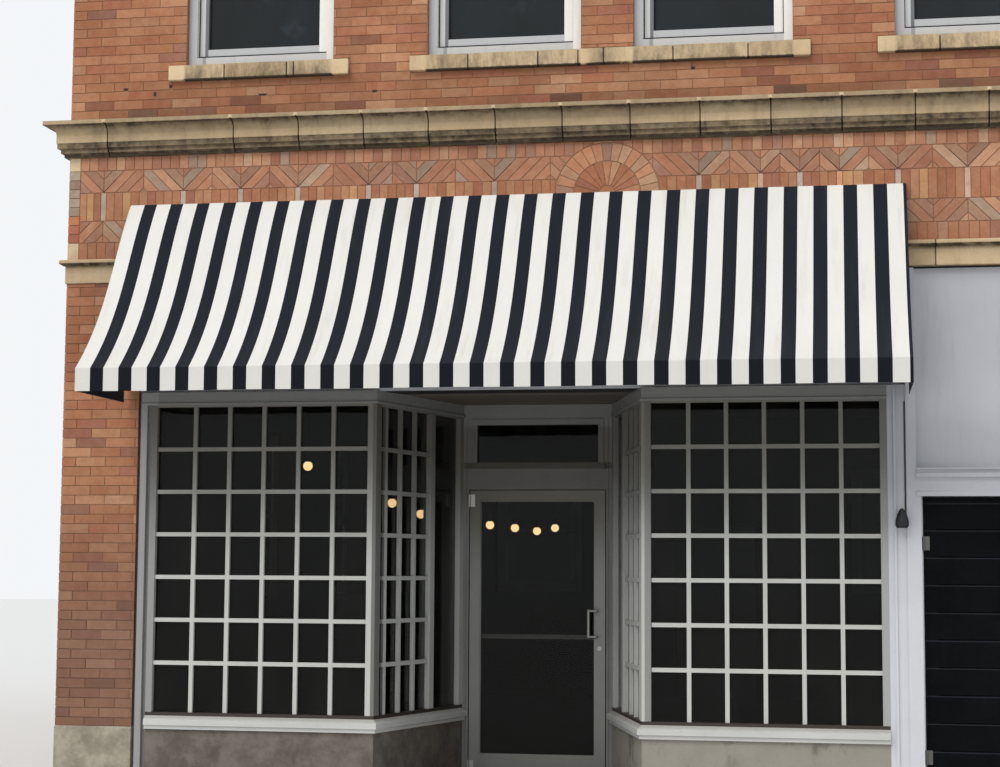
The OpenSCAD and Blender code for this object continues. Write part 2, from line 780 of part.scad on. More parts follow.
// Lining and moulded head of the side door
module side_door_frame() color("lightgray") street() difference() {
    union() {
        block([side_left, fascia_y, floor_top], [side_right, post_d, side_head_z]);
        for (x = [[surround_left, side_left], [side_right, surround_right]])
            block([x[0], -casing_out, floor_top], [x[1], post_d, side_head_z]);
        // Head: a bead over the door, a flat and a moulded cap
        run_x(surround_left, surround_right) polygon([
            [post_d, side_head_z], [-casing_out - 8, side_head_z], [-casing_out - 8, side_head_z + 28],
            [-casing_out, side_head_z + 34], [-casing_out, 2165], [-14, 2165], [-14, 2177],
            [-26, 2181], [-26, 2207], [-18, 2213], [-18, 2224], [-38, 2232],
            [-38, side_head_top], [post_d, side_head_top]]);
    }
    block([side_left + side_lining, 0, -eps],
          [side_right - side_lining, side_door_y + door_t + 6, side_head_z]);
    block([side_left + side_lining + stop_w, 0, -eps],
          [side_right - side_lining - stop_w, post_d + eps, side_head_z - stop_w]);
}

// Plank door with grooves between its boards
module side_door() color("#181c20") street() difference() {
    block([side_leaf_left, side_door_y, side_door_z],
          [side_leaf_right, side_door_y + door_t, side_door_top]);
    for (z = [side_door_top - top_plank_h : -plank_h : side_door_z + plank_h / 2])
        block([side_leaf_left + plank_stile, side_door_y - eps, z - plank_groove / 2],
              [side_leaf_right - plank_stile, side_door_y + 8, z + plank_groove / 2]);
}

module side_door_hardware() color("silver") street() {
    for (z = side_hinge_z) hinge(side_leaf_left, side_door_y, z);
    for (y = [[side_door_y - knob_out, -1], [side_door_y + door_t + knob_out, 1]])
        translate([side_leaf_right - knob_in, y[0], knob_z]) {
            rotate([90 * y[1], 0, 0]) cylinder(h = knob_out, r = 11);
            sphere(r = 27);
        }
}

// Share of the projection reached at share v of the drop
function awning_u(v) = v - awning_sag * v * v * (1 - v);

// Points of the slope from the wall down to the fold, moved in by an inset
function awning_line(inset) = [
    for (i = [0 : awning_steps])
        let (v = i / awning_steps)
        [-awning_u(v) * awning_out + inset, awning_top - v * (awning_top - awning_fold)]];

module awning_cover() color("whitesmoke") street() run_x(-awning_left, awning_right)
    polygon(concat(awning_line(0), [[-awning_out, hem_z], [-awning_out + cloth_t, hem_z]],
                   [for (i = [awning_steps : -1 : 1]) awning_line(cloth_t)[i]]));

module awning_ends() color("whitesmoke") street()
    for (x = [-awning_left, awning_right - end_t]) run_x(x, x + end_t)
        polygon(concat(
            [for (p = awning_line(cloth_t + eps)) if (p[0] < -end_clear) p],
            [[-awning_out + cloth_t + eps, hem_z], [-end_clear, hem_z]]));

// Steel frame: wall bar, fold bar, hem bar, curved rafters and braces
module awning_frame() color("dimgray") street() {
    front = -awning_out + cloth_t + 2;
    left = -awning_left + end_t + 2;
    right = awning_right - end_t - 2;
    bar_z = awning_fold - tube;
    hem = hem_z + 8;
    block([left, -wall_bar_d, wall_bar_top - tube], [right, 0, wall_bar_top]);
    block([left, front, bar_z], [right, front + tube, awning_fold]);
    block([left, front, hem], [right, front + flat_bar, hem + flat_bar]);
    upper = [for (i = [2 : awning_steps]) awning_line(cloth_t + 2)[i]];
    lower = [for (i = [awning_steps : -1 : 2]) awning_line(cloth_t + 2 + rafter_d)[i]];
    for (i = [0 : rafters - 1]) {
        x = left + (right - left - tube) * i / (rafters - 1);
        run_x(x, x + tube) polygon(concat(upper, [[front, bar_z], [front + rafter_d, bar_z]], lower));
        block([x, front, bar_z], [x + tube, -casing_out - 2, awning_fold]);
        block([x, front, hem], [x + tube, front + flat_bar, awning_fold]);
    }
}

// Small dark bell-shaped fixture on the pilaster, with a thin conduit up from it
module wall_fixture() color("darkslategray") street() {
    arm_z = fixture_z + 62;
    translate([fixture_x, -fixture_out, fixture_z]) rotate_extrude()
        polygon([[0, 0], [34, 0], [43, 14], [43, 44], [34, 78], [18, 112], [10, 124], [0, 126]]);
    translate([fixture_x, 4, arm_z]) rotate([90, 0, 0]) cylinder(h = fixture_out - 4, r = 14);
    translate([fixture_x, 4, arm_z]) rotate([90, 0, 0]) cylinder(h = 10, r = 30);
    translate([conduit_x, -1, arm_z]) cylinder(h = header_z - arm_z - 18, r = conduit_r);
}

ground_floor();
entry_floor();
upper_floor();
roof_deck();
left_wall();
party_wall();
rear_wall();
front_upper_wall();
frieze();
cornice();
lower_belt();
left_pier();
right_pier();
pier_bases();
shopfront_beam();
fascia_panel();
coping();
front_sills();
front_lintels();
front_windows();
front_window_glass();
side_stonework();
side_windows();
side_window_glass();
rear_stonework();
rear_windows();
rear_window_glass();
rear_door();
left_jamb();
shop_pilaster();
right_jamb();
shopfront_header();
left_display_frame();
left_return_frame();
right_display_frame();
right_return_frame();
display_glass();
display_sills();
bulkheads();
display_floors();
recess_soffit();
threshold();
entry_door_frame();
transom_glass();
entry_door();
entry_door_glass();
entry_door_pull();
entry_door_hardware();
side_door_frame();
side_door();
side_door_hardware();
awning_frame();
awning_cover();
awning_ends();
wall_fixture();
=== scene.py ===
"""Looks of the corner shop building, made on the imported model."""
import math
import random

import bmesh
import bpy
import numpy as np
from mathutils import Matrix, Vector


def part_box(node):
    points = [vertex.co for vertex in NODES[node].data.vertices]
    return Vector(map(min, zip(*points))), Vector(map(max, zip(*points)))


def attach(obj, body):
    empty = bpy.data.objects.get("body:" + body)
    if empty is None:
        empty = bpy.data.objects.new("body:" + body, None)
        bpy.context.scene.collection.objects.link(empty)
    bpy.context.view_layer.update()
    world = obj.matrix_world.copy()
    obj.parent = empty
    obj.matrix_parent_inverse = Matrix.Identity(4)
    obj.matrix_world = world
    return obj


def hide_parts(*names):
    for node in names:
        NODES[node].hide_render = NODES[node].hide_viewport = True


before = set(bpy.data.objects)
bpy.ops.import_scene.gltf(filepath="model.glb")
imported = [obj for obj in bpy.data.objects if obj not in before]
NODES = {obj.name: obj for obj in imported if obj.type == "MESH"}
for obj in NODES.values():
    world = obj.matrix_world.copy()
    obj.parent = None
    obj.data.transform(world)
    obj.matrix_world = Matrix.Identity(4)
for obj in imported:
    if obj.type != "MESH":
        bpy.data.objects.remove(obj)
SCENE = bpy.context.scene
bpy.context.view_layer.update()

# Sizes repeated from the construction, in metres; y is measured from the street wall face
HALF = 3.85
DEPTH = 11.0
WALL = 0.33
PIER_IN = 3.292
PIER_BASE = 0.478
BELT = (3.565, 3.731)
CORNICE = (4.466, 4.709)
PARAPET = 8.3
ROOF_Z = 7.6
COURSE = 0.0667
COURSE_Z = 5.005
BRICK_L = 0.2113
BRICK_HEAD = 0.1008
JOINT = 0.005
HEAD_JOINT = 0.003
SET_BACK = 0.0045
WINDOW = (0.535, 5.113, 1.96)
SILL = (0.653, 0.118)
LINTEL_H = 0.2
FRAME_W = 0.060
SASH_W = 0.067
LIP_W = 0.022
SEAL_Z = 0.0735
FRONT_X = (-2.461, -0.716, 0.716, 2.461)
SIDE_Y = [DEPTH * (2 * i + 1.2) / 8.4 for i in range(4)]
REAR_X = (-HALF * 0.56, 0.0, HALF * 0.56)
LOW_WINDOW = (0.535, 1.3, 1.5)
# Middle and size of each window, along its own face
WINDOWS = {
    "front": [(x, WINDOW) for x in FRONT_X],
    "left": [(-y, WINDOW) for y in SIDE_Y] + [(-y, LOW_WINDOW) for y in SIDE_Y[1:]],
    "rear": [(-x, WINDOW) for x in REAR_X] + [(-x, LOW_WINDOW) for x in REAR_X[::2]],
}
MOULD_END = 0.558
# Pitch of the side door's planks, and what is added to a height so that a plank begins at a groove
PLANK = 0.177
PLANK_START = 0.2955


def street(x, y, z):
    """A place with y from the street wall face, in the part's own frame."""
    return (x, y - DEPTH / 2, z)


def srgb(r, g, b):
    out = []
    for v in (r, g, b):
        v /= 255.0
        out.append(v / 12.92 if v <= 0.04045 else ((v + 0.055) / 1.055) ** 2.4)
    return tuple(out)


# Materials. A colour in whole numbers is sRGB, and one in fractions is linear.
MIRROR_LIMIT = 0.3
# Metres added to a place so that it is never below 0
FAR = 50.0


def put(socket, value):
    """Gives a socket another node's output, a colour or a number."""
    if isinstance(value, bpy.types.NodeSocket):
        socket.id_data.links.new(value, socket)
    elif socket.type == "RGBA":
        socket.default_value = (*(srgb(*value) if isinstance(value[0], int) else value), 1.0)
    else:
        socket.default_value = value


def add_node(tree, kind, inputs=(), **settings):
    n = tree.nodes.new("ShaderNode" + kind)
    for key, value in settings.items():
        setattr(n, key, value)
    for key, value in dict(inputs).items():
        put(n.inputs[key], value)
    return n


class Mat:
    """One node material. Every length in it is in metres of object space."""

    def __init__(self, name, rough=0.7, metal=0.0, spec=0.5):
        self.mat = bpy.data.materials.new(name)
        self.mat.use_nodes = True
        self.nt = self.mat.node_tree
        self.bsdf = self.nt.nodes["Principled BSDF"]
        self.coord = self.node("TexCoord").outputs["Object"]
        for key, value in (("Roughness", rough), ("Metallic", metal), ("Specular IOR Level", spec)):
            self.bsdf.inputs[key].default_value = value

    def node(self, *args, **settings):
        return add_node(self.nt, *args, **settings)

    def space(self, stretch=(1, 1, 1)):
        return self.node("Mapping", {"Vector": self.coord, "Scale": stretch}).outputs["Vector"]

    def noise(self, scale, detail=3.0, rough=0.55, stretch=(1, 1, 1)):
        inputs = {"Vector": self.space(stretch), "Scale": scale, "Detail": detail, "Roughness": rough}
        return self.node("TexNoise", inputs).outputs["Fac"]

    def wave(self, scale, direction):
        inputs = {"Vector": self.space(), "Scale": scale}
        return self.node("TexWave", inputs, bands_direction=direction).outputs["Fac"]

    def ramp(self, value, low, high, a=0.0, b=1.0):
        inputs = {"Value": value, "From Min": low, "From Max": high, "To Min": a, "To Max": b}
        return self.node("MapRange", inputs, interpolation_type="SMOOTHSTEP").outputs["Result"]

    def math(self, op, a, b=0.0):
        return self.node("Math", {0: a, 1: b}, operation=op).outputs[0]

    def mul(self, a, b):
        return self.math("MULTIPLY", a, b)

    def add(self, a, b):
        return self.math("ADD", a, b)

    def sub(self, a, b):
        return self.math("SUBTRACT", a, b)

    def mix(self, fac, a, b, blend="MIX"):
        return self.node("Mix", {"Factor": fac, 6: a, 7: b}, data_type="RGBA", blend_type=blend).outputs[2]

    def attribute(self):
        n = self.node("Attribute", attribute_name="tint")
        return n.outputs["Color"], n.outputs["Alpha"]

    def height(self, axis="Z"):
        return self.node("SeparateXYZ", {0: self.coord}).outputs[axis]

    def count(self, axis, shift, pitch):
        """How many pitches along an axis a place is."""
        return self.math("DIVIDE", self.add(self.height(axis), shift), pitch)

    def uneven(self, amount, *noise):
        """The height, raised by noise."""
        return self.add(self.height(), self.mul(self.noise(*noise), amount))

    def within(self, value, low, high, soft=0.003):
        """1 between low and high."""
        return self.sub(self.ramp(value, low - soft, low), self.ramp(value, high, high + soft))

    def coats(self, col, *layers):
        """Colours laid over each other, each by its share."""
        for share, shade in layers:
            col = self.mix(share, col, shade)
        return col

    def spots(self, col, shade, share, low, high, *noise):
        """A colour laid on where the noise is high."""
        return self.mix(self.ramp(self.noise(*noise), low, high, 0, share), col, shade)

    def clouds(self, colour, dark, pale, *noise):
        """A colour that noise makes darker and paler by turns."""
        base = srgb(*colour)
        gain, lift = pale
        pale = tuple(min(1.0, c * gain + lift) for c in base)
        return self.mix(self.noise(*noise), tuple(c * dark for c in base), pale)

    def bump(self, height, distance, strength=1.0, normal=None):
        inputs = {"Height": height, "Distance": distance, "Strength": strength}
        if normal is not None:
            inputs["Normal"] = normal
        return self.node("Bump", inputs).outputs["Normal"]

    def relief(self, *layers, normal=None):
        """Noise bumps over each other; a layer is its distance, its strength and its noise."""
        for distance, strength, *noise in layers:
            normal = self.bump(self.noise(*noise), distance, strength, normal)
        return normal

    def done(self, colour, *layers, rough=None, normal=None):
        """Finishes the material, with layers of relief laid over the normal."""
        normal = self.relief(*layers, normal=normal)
        for key, value in (("Base Color", colour), ("Roughness", rough), ("Normal", normal)):
            if value is not None:
                put(self.bsdf.inputs[key], value)
        return self.mat


def foot_grime(m, col):
    """Brickwork is greyer over its lowest two metres."""
    return m.mix(m.ramp(m.uneven(0.8, 4, 6, 0.7), 1.4, 2.8, 0.58, 0.0), col, (100, 84, 76))


def brick_material(name, soot):
    """Burnt clay in the tint of each brick, clouded, with pits and pale grit, grimy near the pavement."""
    m = Mat(name, 0.9, spec=0.2)
    tint, dirt = m.attribute()
    cloud = m.mix(m.ramp(m.noise(19, 5, 0.62), 0.35, 0.65), (0.94, 0.88, 0.84), (1.04, 1.07, 1.07))
    broad = m.mix(m.ramp(m.noise(1.7, 5, 0.6), 0.34, 0.66), (0.91, 0.87, 0.86), (1.05, 1.07, 1.07))
    col = m.mix(1.0, m.mix(1.0, tint, cloud, "MULTIPLY"), broad, "MULTIPLY")
    col = m.spots(col, (88, 58, 46), 0.5, 0.60, 0.70, 400, 2)
    col = m.spots(col, (214, 182, 152), 0.3, 0.62, 0.74, 170, 2)
    smoke = m.mul(m.ramp(m.noise(1.3, 6, 0.62, (1, 1, 0.45)), 0.48, 0.76), soot)
    col = m.mix(smoke, col, m.mix(0.55, col, (84, 68, 60)))
    # The tint's fourth value darkens a brick: soot, and painted shade under the belt.
    col = foot_grime(m, m.mix(m.mul(dirt, 0.7), col, (72, 58, 50)))
    rough = m.ramp(m.noise(90, 2), 0.3, 0.7, 0.82, 0.97)
    return m.done(col, (0.0006, 0.7, 520, 3, 0.7), (0.0026, 0.6, 60, 4, 0.6), rough=rough)


def mortar_material():
    """Sandy mortar, grimy near the pavement."""
    m = Mat("mortar", 0.96, spec=0.1)
    col = m.mix(m.noise(9, 5, 0.65), (140, 102, 78), (178, 136, 108))
    col = foot_grime(m, m.spots(col, (122, 92, 74), 1.0, 0.45, 0.62, 420, 2))
    return m.done(col, (0.0012, 0.9, 520, 3, 0.7))


def plaster_material():
    """Dull plaster in the rooms, and streaked cement render inside the parapet."""
    m = Mat("room_plaster", 0.95, spec=0.1)
    room = m.mix(m.noise(2.2, 5), (70, 64, 56), (92, 84, 74))
    roof = m.mix(m.noise(3.5, 6, 0.7), (146, 141, 132), (116, 111, 103))
    roof = m.spots(roof, (72, 69, 64), 0.5, 0.50, 0.75, 9, 6, 0.7, (1, 1, 0.15))
    col = m.mix(m.ramp(m.height(), ROOF_Z, ROOF_Z + 0.02), room, roof)
    return m.done(col, (0.002, 0.5, 30, 4))


def stone_material(name, light, warm, grime, drips=False):
    """Limestone with fine pits, streaks and patches of soot, and more darkening where the piece says, which
    runs down in drips on a sill; that darkening is soot, and painted shade on undersides, steps and coves."""
    m = Mat(name, 0.88, spec=0.2)
    tint, dirt = m.attribute()
    col = m.mix(1.0, m.mix(m.noise(9, 6, 0.65), light, warm), tint, "MULTIPLY")
    col = m.spots(col, (128, 110, 88), 0.4, 0.55, 0.68, 260, 3)
    streak = m.ramp(m.noise(11, 6, 0.7, (1, 1, 0.16)), 0.49, 0.70)
    patch = m.ramp(m.noise(3.2, 6, 0.7), 0.46, 0.68)
    sooty = m.mul(m.add(m.mul(streak, 0.55), m.mul(patch, 0.5)), grime)
    spread, least, most = ((12, 7, 0.78, (1, 1, 0.36)), 0.45, 1.6) if drips else ((17, 5, 0.7), 0.72, 1.0)
    # The tint's fourth value: soot, and painted shade on undersides, steps and coves.
    deep = m.mul(dirt, m.ramp(m.noise(*spread), 0.36, 0.66, least, most))
    col = m.mix(m.math("MINIMUM", m.add(sooty, deep), 0.94), col, (52, 43, 35))
    rough = m.ramp(m.noise(60, 3), 0.3, 0.7, 0.78, 0.95)
    return m.done(col, (0.0009, 0.8, 300, 4, 0.7), (0.003, 0.5, 34, 5, 0.65), rough=rough)


def render_material(name, a, b, stain, right=None, foot_dirt=0.6):
    """Cement render or concrete with stains and pits; right is the paler colour east of the entry."""
    m = Mat(name, 0.93, spec=0.15)
    col = m.mix(m.ramp(m.noise(6.5, 7, 0.7), 0.34, 0.66), b, a)
    if right is not None:
        col = m.mix(m.ramp(m.height("X"), -0.70, -0.66), col, m.mix(m.noise(6.5, 7, 0.7), *right))
    col = m.spots(col, stain, 0.75, 0.50, 0.66, 2.1, 7, 0.72, (1, 1, 0.7))
    col = m.spots(col, (70, 66, 60), 0.55, 0.58, 0.68, 330, 2)
    col = m.mix(m.ramp(m.uneven(0.30, 9, 6, 0.7), 0.12, 0.42, foot_dirt, 0.0), col, (70, 67, 62))
    return m.done(col, (0.0012, 0.8, 380, 4, 0.75), (0.004, 0.45, 22, 5, 0.6))


def paint_material(name, colour, rough, wear, under=(120, 104, 84), dirt=0.3, spec=0.35, after=None):
    """Brush paint on wood, chipped a little, with dust in streaks; after may change the colour by place."""
    m = Mat(name, rough, spec=spec)
    col = m.clouds(colour, 0.86, (1.10, 0.006), 2.6, 6, 0.6)
    if after is not None:
        col = after(m, col)
    col = m.spots(col, m.mix(0.5, col, (92, 88, 82)), dirt, 0.54, 0.80, 21, 5, 0.65, (1, 1, 0.10))
    col = m.spots(col, under, wear, 0.665, 0.70, 62, 5, 0.75)
    rough = m.ramp(m.noise(30, 4), 0.3, 0.7, rough - 0.08, rough + 0.2)
    return m.done(col, (0.0003, 0.5, 420, 3), (0.0010, 0.35, 8, 5, 0.6, (14, 14, 0.8)), rough=rough)


def panel_place(m, col):
    """Paler towards the ground, darker from 1.5 m up, darkest just over the side door."""
    z = m.height()
    dull = m.sub(m.ramp(z, 1.5, 2.3, 0.0, 0.64), m.ramp(z, 2.4, 2.7, 0.0, 0.13))
    return m.mix(dull, col, m.mix(0.9, col, (132, 134, 142)))


def bar_place(m, col):
    """Grey outer stiles, corner posts with painted shade on their inner half, bars with painted shade
    deepening towards the top under the awning, and a brown foot rail.
    """
    x = m.height("X")
    left, right = m.ramp(x, -3.151, -3.148, 1.0, 0.0), m.ramp(x, 1.786, 1.789)
    # Painted shade on the inner half of each corner post.
    left_post_shade, right_post_shade = m.mul(m.within(x, -1.604, -1.560), 0.75), m.mul(m.within(x, 0.252, 0.296), 0.90)
    # Painted shade under the awning, deepening up the bars.
    sooty = m.ramp(m.uneven(0.3, 3, 4), 1.65, 2.60, 0.0, 0.8)
    foot = m.ramp(m.uneven(0.006, 40, 3), 0.583, 0.586, 1.0, 0.0)
    return m.coats(col, (left, (148, 148, 147)), (right, (168, 168, 167)), (left_post_shade, (70, 68, 64)),
                   (right_post_shade, (134, 134, 132)), (sooty, (84, 80, 72)), (foot, (58, 50, 44)))


def entry_place(m, col):
    """The grey paint turns brown with painted shade high up and deep in the entry, but not on the board over
    the transom; a painted shadow darkens the bead under it, and the jamb next to the left pier is paler."""
    y, z = m.height("Y"), m.height()
    # Brown painted shade, deep in the entry and high up under the soffit.
    smoke = m.mul(m.ramp(y, -5.2, -4.9, 0.0, 0.45), m.ramp(m.uneven(0.3, 3, 4), 1.9, 2.4))
    smoke = m.mul(smoke, m.ramp(z, 2.60, 2.64, 1.0, 0.0))
    # A painted shadow line under the transom.
    bead = m.mul(m.ramp(y, -4.25, -4.23, 0.0, 0.9), m.within(z, 2.313, 2.356))
    jamb = m.ramp(m.height("X"), -3.15, -3.14, 0.55, 0.0)
    return m.coats(col, (smoke, (70, 61, 48)), (bead, (74, 70, 62)), (jamb, (164, 164, 164)))


def door_place(m, col):
    """The door's top rail is dull and brown."""
    return m.mix(m.ramp(m.uneven(0.3, 3, 4), 1.6, 2.25, 0.0, 0.68), col, (70, 66, 57))


def sill_place(m, col):
    """Worn brown along the nose."""
    return m.mix(m.ramp(m.uneven(0.02, 35, 5, 0.7), 0.535, 0.560, 0.0, 0.55), col, (150, 146, 138))


def frame_place(m, col):
    """The left and foot members of the front windows are greyer than the others, darkest at the left of
    the glass: painted shade on the faces turned from the light, and a painted shadow at the left of the
    glass."""
    x, z = m.height("X"), m.height()
    sill, seal = WINDOW[1], WINDOW[1] + SEAL_Z
    # Painted shade on the foot rail and frame foot, the left members and the sash's inner edge.
    rail = m.mul(m.within(z, seal + 0.003, sill + FRAME_W + SASH_W), 0.85)
    foot = m.mul(m.within(z, sill - 0.01, seal - 0.003), 0.65)
    stiles, lip_shadow, low = 0.0, 0.0, 0.0
    for c in FRONT_X:
        left, right = c - WINDOW[0], c + WINDOW[0] - FRAME_W
        glass = left + FRAME_W + SASH_W
        sash = m.mul(m.within(x, left + FRAME_W, glass), 0.55)
        stiles = m.add(stiles, m.add(m.within(x, left, left + FRAME_W - 0.003), sash))
        lip_shadow = m.add(lip_shadow, m.within(x, glass - LIP_W, glass))
        low = m.add(low, m.mul(rail, m.within(x, glass, right - SASH_W)))
        low = m.add(low, m.mul(foot, m.within(x, left + FRAME_W, right)))
    front = m.ramp(m.height("Y"), -5.3, -5.2, 0.95, 0.0)
    shades = ((stiles, (177, 178, 182)), (lip_shadow, (104, 106, 112)), (low, (172, 173, 176)))
    return m.coats(col, *[(m.mul(share, front), shade) for share, shade in shades])


def plank_place(m, col):
    """A painted highlight along the lower edge of each groove."""
    step = m.math("FRACT", m.count("Z", PLANK_START, PLANK))
    lip_highlight = m.sub(m.ramp(step, 0.0, 0.02), m.ramp(step, 0.045, 0.065))
    # The paler line at each groove's lower edge is a painted highlight.
    return m.mix(m.mul(lip_highlight, 0.5), col, (56, 60, 66))


def metal_material(name, colour, rough, metal, brushed=True, after=None):
    """Dull metal with fine brush lines and spots; after may change the colour by place."""
    m = Mat(name, rough, metal)
    col = m.clouds(colour, 0.82, (1.0, 0.0), 6, 5)
    if after is not None:
        col = after(m, col)
    col = m.spots(col, (70, 66, 60), 0.5, 0.62, 0.72, 90, 5, 0.7)
    line = m.noise(60, 4, 0.6, (12, 12, 0.4)) if brushed else m.noise(300, 3)
    rough = m.ramp(line, 0.25, 0.75, rough - 0.07, rough + 0.12)
    return m.done(col, rough=rough, normal=m.bump(line, 0.0003, 0.35))


def glass_material(name, tint, depth, dust):
    """Clear glass with a slight tint, a soft gloss and a film of dust; depth is how much it darkens.
    The limit keeps the back of a pane, where no ray is bent, from turning into a full mirror."""
    m = Mat(name)
    m.nt.nodes.remove(m.bsdf)
    wavy = m.relief((0.0016, 0.25, 1.6, 2))
    # depth darkens all that is seen through the pane, a painted shade that keeps the shop behind dim.
    clear = m.node("BsdfTransparent", {"Color": tuple(t * (1.0 - depth) for t in tint)})
    gloss = m.node("BsdfGlossy", {"Color": (0.94, 0.95, 0.97), "Roughness": 0.03, "Normal": wavy})
    film = m.node("BsdfDiffuse", {"Color": (140, 138, 130)})
    edge = m.node("Fresnel", {"IOR": 1.21, "Normal": wavy})
    mirror = m.math("MINIMUM", edge.outputs[0], MIRROR_LIMIT)
    pane = m.node("MixShader", {0: mirror, 1: clear.outputs[0], 2: gloss.outputs[0]})
    dusty = m.ramp(m.noise(3.0, 6, 0.7, (1, 1, 0.4)), 0.42, 0.8, dust * 0.3, dust)
    surface = m.node("MixShader", {0: dusty, 1: pane.outputs[0], 2: film.outputs[0]})
    put(m.nt.nodes["Material Output"].inputs["Surface"], surface.outputs[0])
    return m.mat


def dark_glass_material(name, colour, spec):
    """Upper windows: glass painted dark and nearly opaque, a painted shade that stands for the dim room
    behind, with its blinds half seen.
    """
    m = Mat(name, 0.05, spec=spec)
    # The dark colour and the alpha near 1 are painted shade of the room behind the glass.
    base = srgb(*colour)
    fold = m.ramp(m.noise(2.1, 5, 0.6, (1, 1, 0.3)), 0.35, 0.65)
    col = m.mix(fold, tuple(c * 0.62 for c in base), base)
    col = m.spots(col, (52, 62, 70), 0.6, 0.60, 0.72, 3.4, 3, 0.5)
    m.bsdf.inputs["Alpha"].default_value = 0.94
    return m.done(col, (0.0016, 0.3, 1.6, 2), rough=m.ramp(m.noise(5, 5, 0.7), 0.4, 0.8, 0.03, 0.12))


def cloth_material(name, colour, stain, low):
    """Woven canvas: fine threads both ways, faint stains, and the valance darker, painted shade of its
    upright face.
    """
    m = Mat(name, 0.86, spec=0.12)
    col = m.clouds(colour, 0.90, (1.05, 0.004), 1.7, 6, 0.65)
    col = m.spots(col, stain, 0.32, 0.50, 0.76, 9, 6, 0.7, (1, 0.12, 0.12))
    # Painted shade: the upright valance below the fold is darkened.
    col = m.mix(m.ramp(m.height(), 2.856, 2.872, 0.5, 0.0), col, low)
    threads = m.bump(m.add(m.wave(420, "X"), m.wave(420, "Z")), 0.00025, 0.5)
    m.bsdf.inputs["Sheen Weight"].default_value = 0.05
    m.bsdf.inputs["Sheen Roughness"].default_value = 0.5
    return m.done(col, (0.004, 0.35, 3.5, 3), normal=threads)


def bulb_material():
    """A warm lit bulb, its glow a little uneven."""
    m = Mat("warm_bulb", 0.25)
    m.bsdf.inputs["Emission Strength"].default_value = 3.6
    glow = m.mix(m.noise(40, 3), (1.0, 0.56, 0.22), (1.0, 0.74, 0.40))
    put(m.bsdf.inputs["Emission Color"], glow)
    m.mat.cycles.emission_sampling = "NONE"
    return m.done(glow)


def board_material(name, a, b, width, axis):
    """Boards with dark joints, running along the given axis."""
    m = Mat(name, 0.6, spec=0.3)
    across, long = {"X": ("Y", (0.6, 9, 9)), "Y": ("X", (9, 0.6, 9))}[axis]
    place = m.count(across, FAR, width)
    part, step = m.math("FRACT", place), m.math("FLOOR", place)
    gap = m.add(m.ramp(part, 0.0, 0.035, 1, 0), m.ramp(part, 0.965, 1.0))
    shade = m.math("FRACT", m.mul(m.math("SINE", m.mul(step, 12.9)), 43.7))
    col = m.coats(m.mix(m.noise(5, 7, 0.7, long), a, b), (m.mul(shade, 0.4), (0.05, 0.04, 0.03)),
                  (m.mul(gap, 0.8), (0.02, 0.015, 0.01)))
    joints = m.bump(m.sub(1.0, gap), 0.003, 0.8)
    return m.done(col, (0.0008, 0.5, 40, 5, 0.6, long), normal=joints)


def roofing_material():
    """Grey felt in sheets that overlap."""
    m = Mat("roofing_felt", 0.95, spec=0.2)
    seam = m.ramp(m.math("FRACT", m.count("Y", FAR, 0.92)), 0.0, 0.02, 1, 0)
    col = m.mix(m.mul(seam, 0.7), m.mix(m.noise(3, 6, 0.7), (62, 62, 62), (96, 94, 90)), (30, 30, 30))
    return m.done(col, normal=m.bump(seam, 0.004, 0.7, m.relief((0.001, 0.8, 700, 2, 0.8))))


M = {
    "brick": brick_material("face_brick", 0.4),
    "common": brick_material("common_brick", 0.9),
    "mortar": mortar_material(),
    "plaster": plaster_material(),
    "stone": stone_material("buff_stone", (208, 189, 161), (191, 166, 132), 0.30),
    "sill_stone": stone_material("sill_stone", (230, 208, 173), (212, 186, 151), 0.22, True),
    "base": render_material("base_render", (176, 168, 150), (142, 135, 120), (110, 105, 95), foot_dirt=0.85),
    "bulkhead": render_material("bulkhead_render", (124, 116, 108), (100, 93, 86), (82, 76, 70),
                                ((140, 136, 126), (164, 160, 150)), 0.3),
    "concrete": render_material("worn_concrete", (128, 126, 120), (104, 102, 97), (84, 82, 78)),
    "panel": paint_material("panel_paint", (211, 212, 217), 0.5, 0.15, after=panel_place),
    "grey": paint_material("shopfront_paint", (130, 130, 128), 0.45, 0.3, after=entry_place),
    "bars": paint_material("bar_paint", (196, 196, 192), 0.42, 0.2, after=bar_place),
    "sills": paint_material("sill_paint", (201, 201, 198), 0.45, 0.35, after=sill_place),
    "sash": paint_material("window_paint", (238, 235, 229), 0.35, 0.05, after=frame_place),
    "black": paint_material("door_black", (6, 9, 12), 0.6, 0.06, (40, 40, 40), 0.04, 0.03, plank_place),
    "rubber": paint_material("seal_rubber", (26, 27, 30), 0.7, 0.0, dirt=0.2, spec=0.2),
    "steel": metal_material("dark_steel", (50, 50, 52), 0.5, 0.6, False),
    "aluminium": metal_material("satin_aluminium", (136, 136, 132), 0.42, 0.85, after=door_place),
    "fittings": metal_material("dull_fittings", (112, 110, 106), 0.42, 0.85),
    "handles": metal_material("bright_fittings", (186, 183, 176), 0.38, 0.7),
    "shop_glass": glass_material("shop_glass", (0.96, 0.97, 0.96), 0.42, 0.028),
    "room_glass": dark_glass_material("window_glass", (30, 35, 38), 0.3),
    "soffit": board_material("soffit_boards", (120, 112, 103), (92, 86, 79), 0.09, "X"),
    "floor": board_material("floor_boards", (128, 96, 64), (96, 68, 44), 0.11, "Y"),
    "roofing": roofing_material(),
    "bulb": bulb_material(),
    "white_cloth": cloth_material("canvas_white", (229, 227, 222), (184, 178, 166), (212, 209, 203)),
    "navy_cloth": cloth_material("canvas_navy", (25, 29, 37), (54, 57, 64), (6, 7, 11)),
}


# Mesh tools
ARRIS = 0.0014


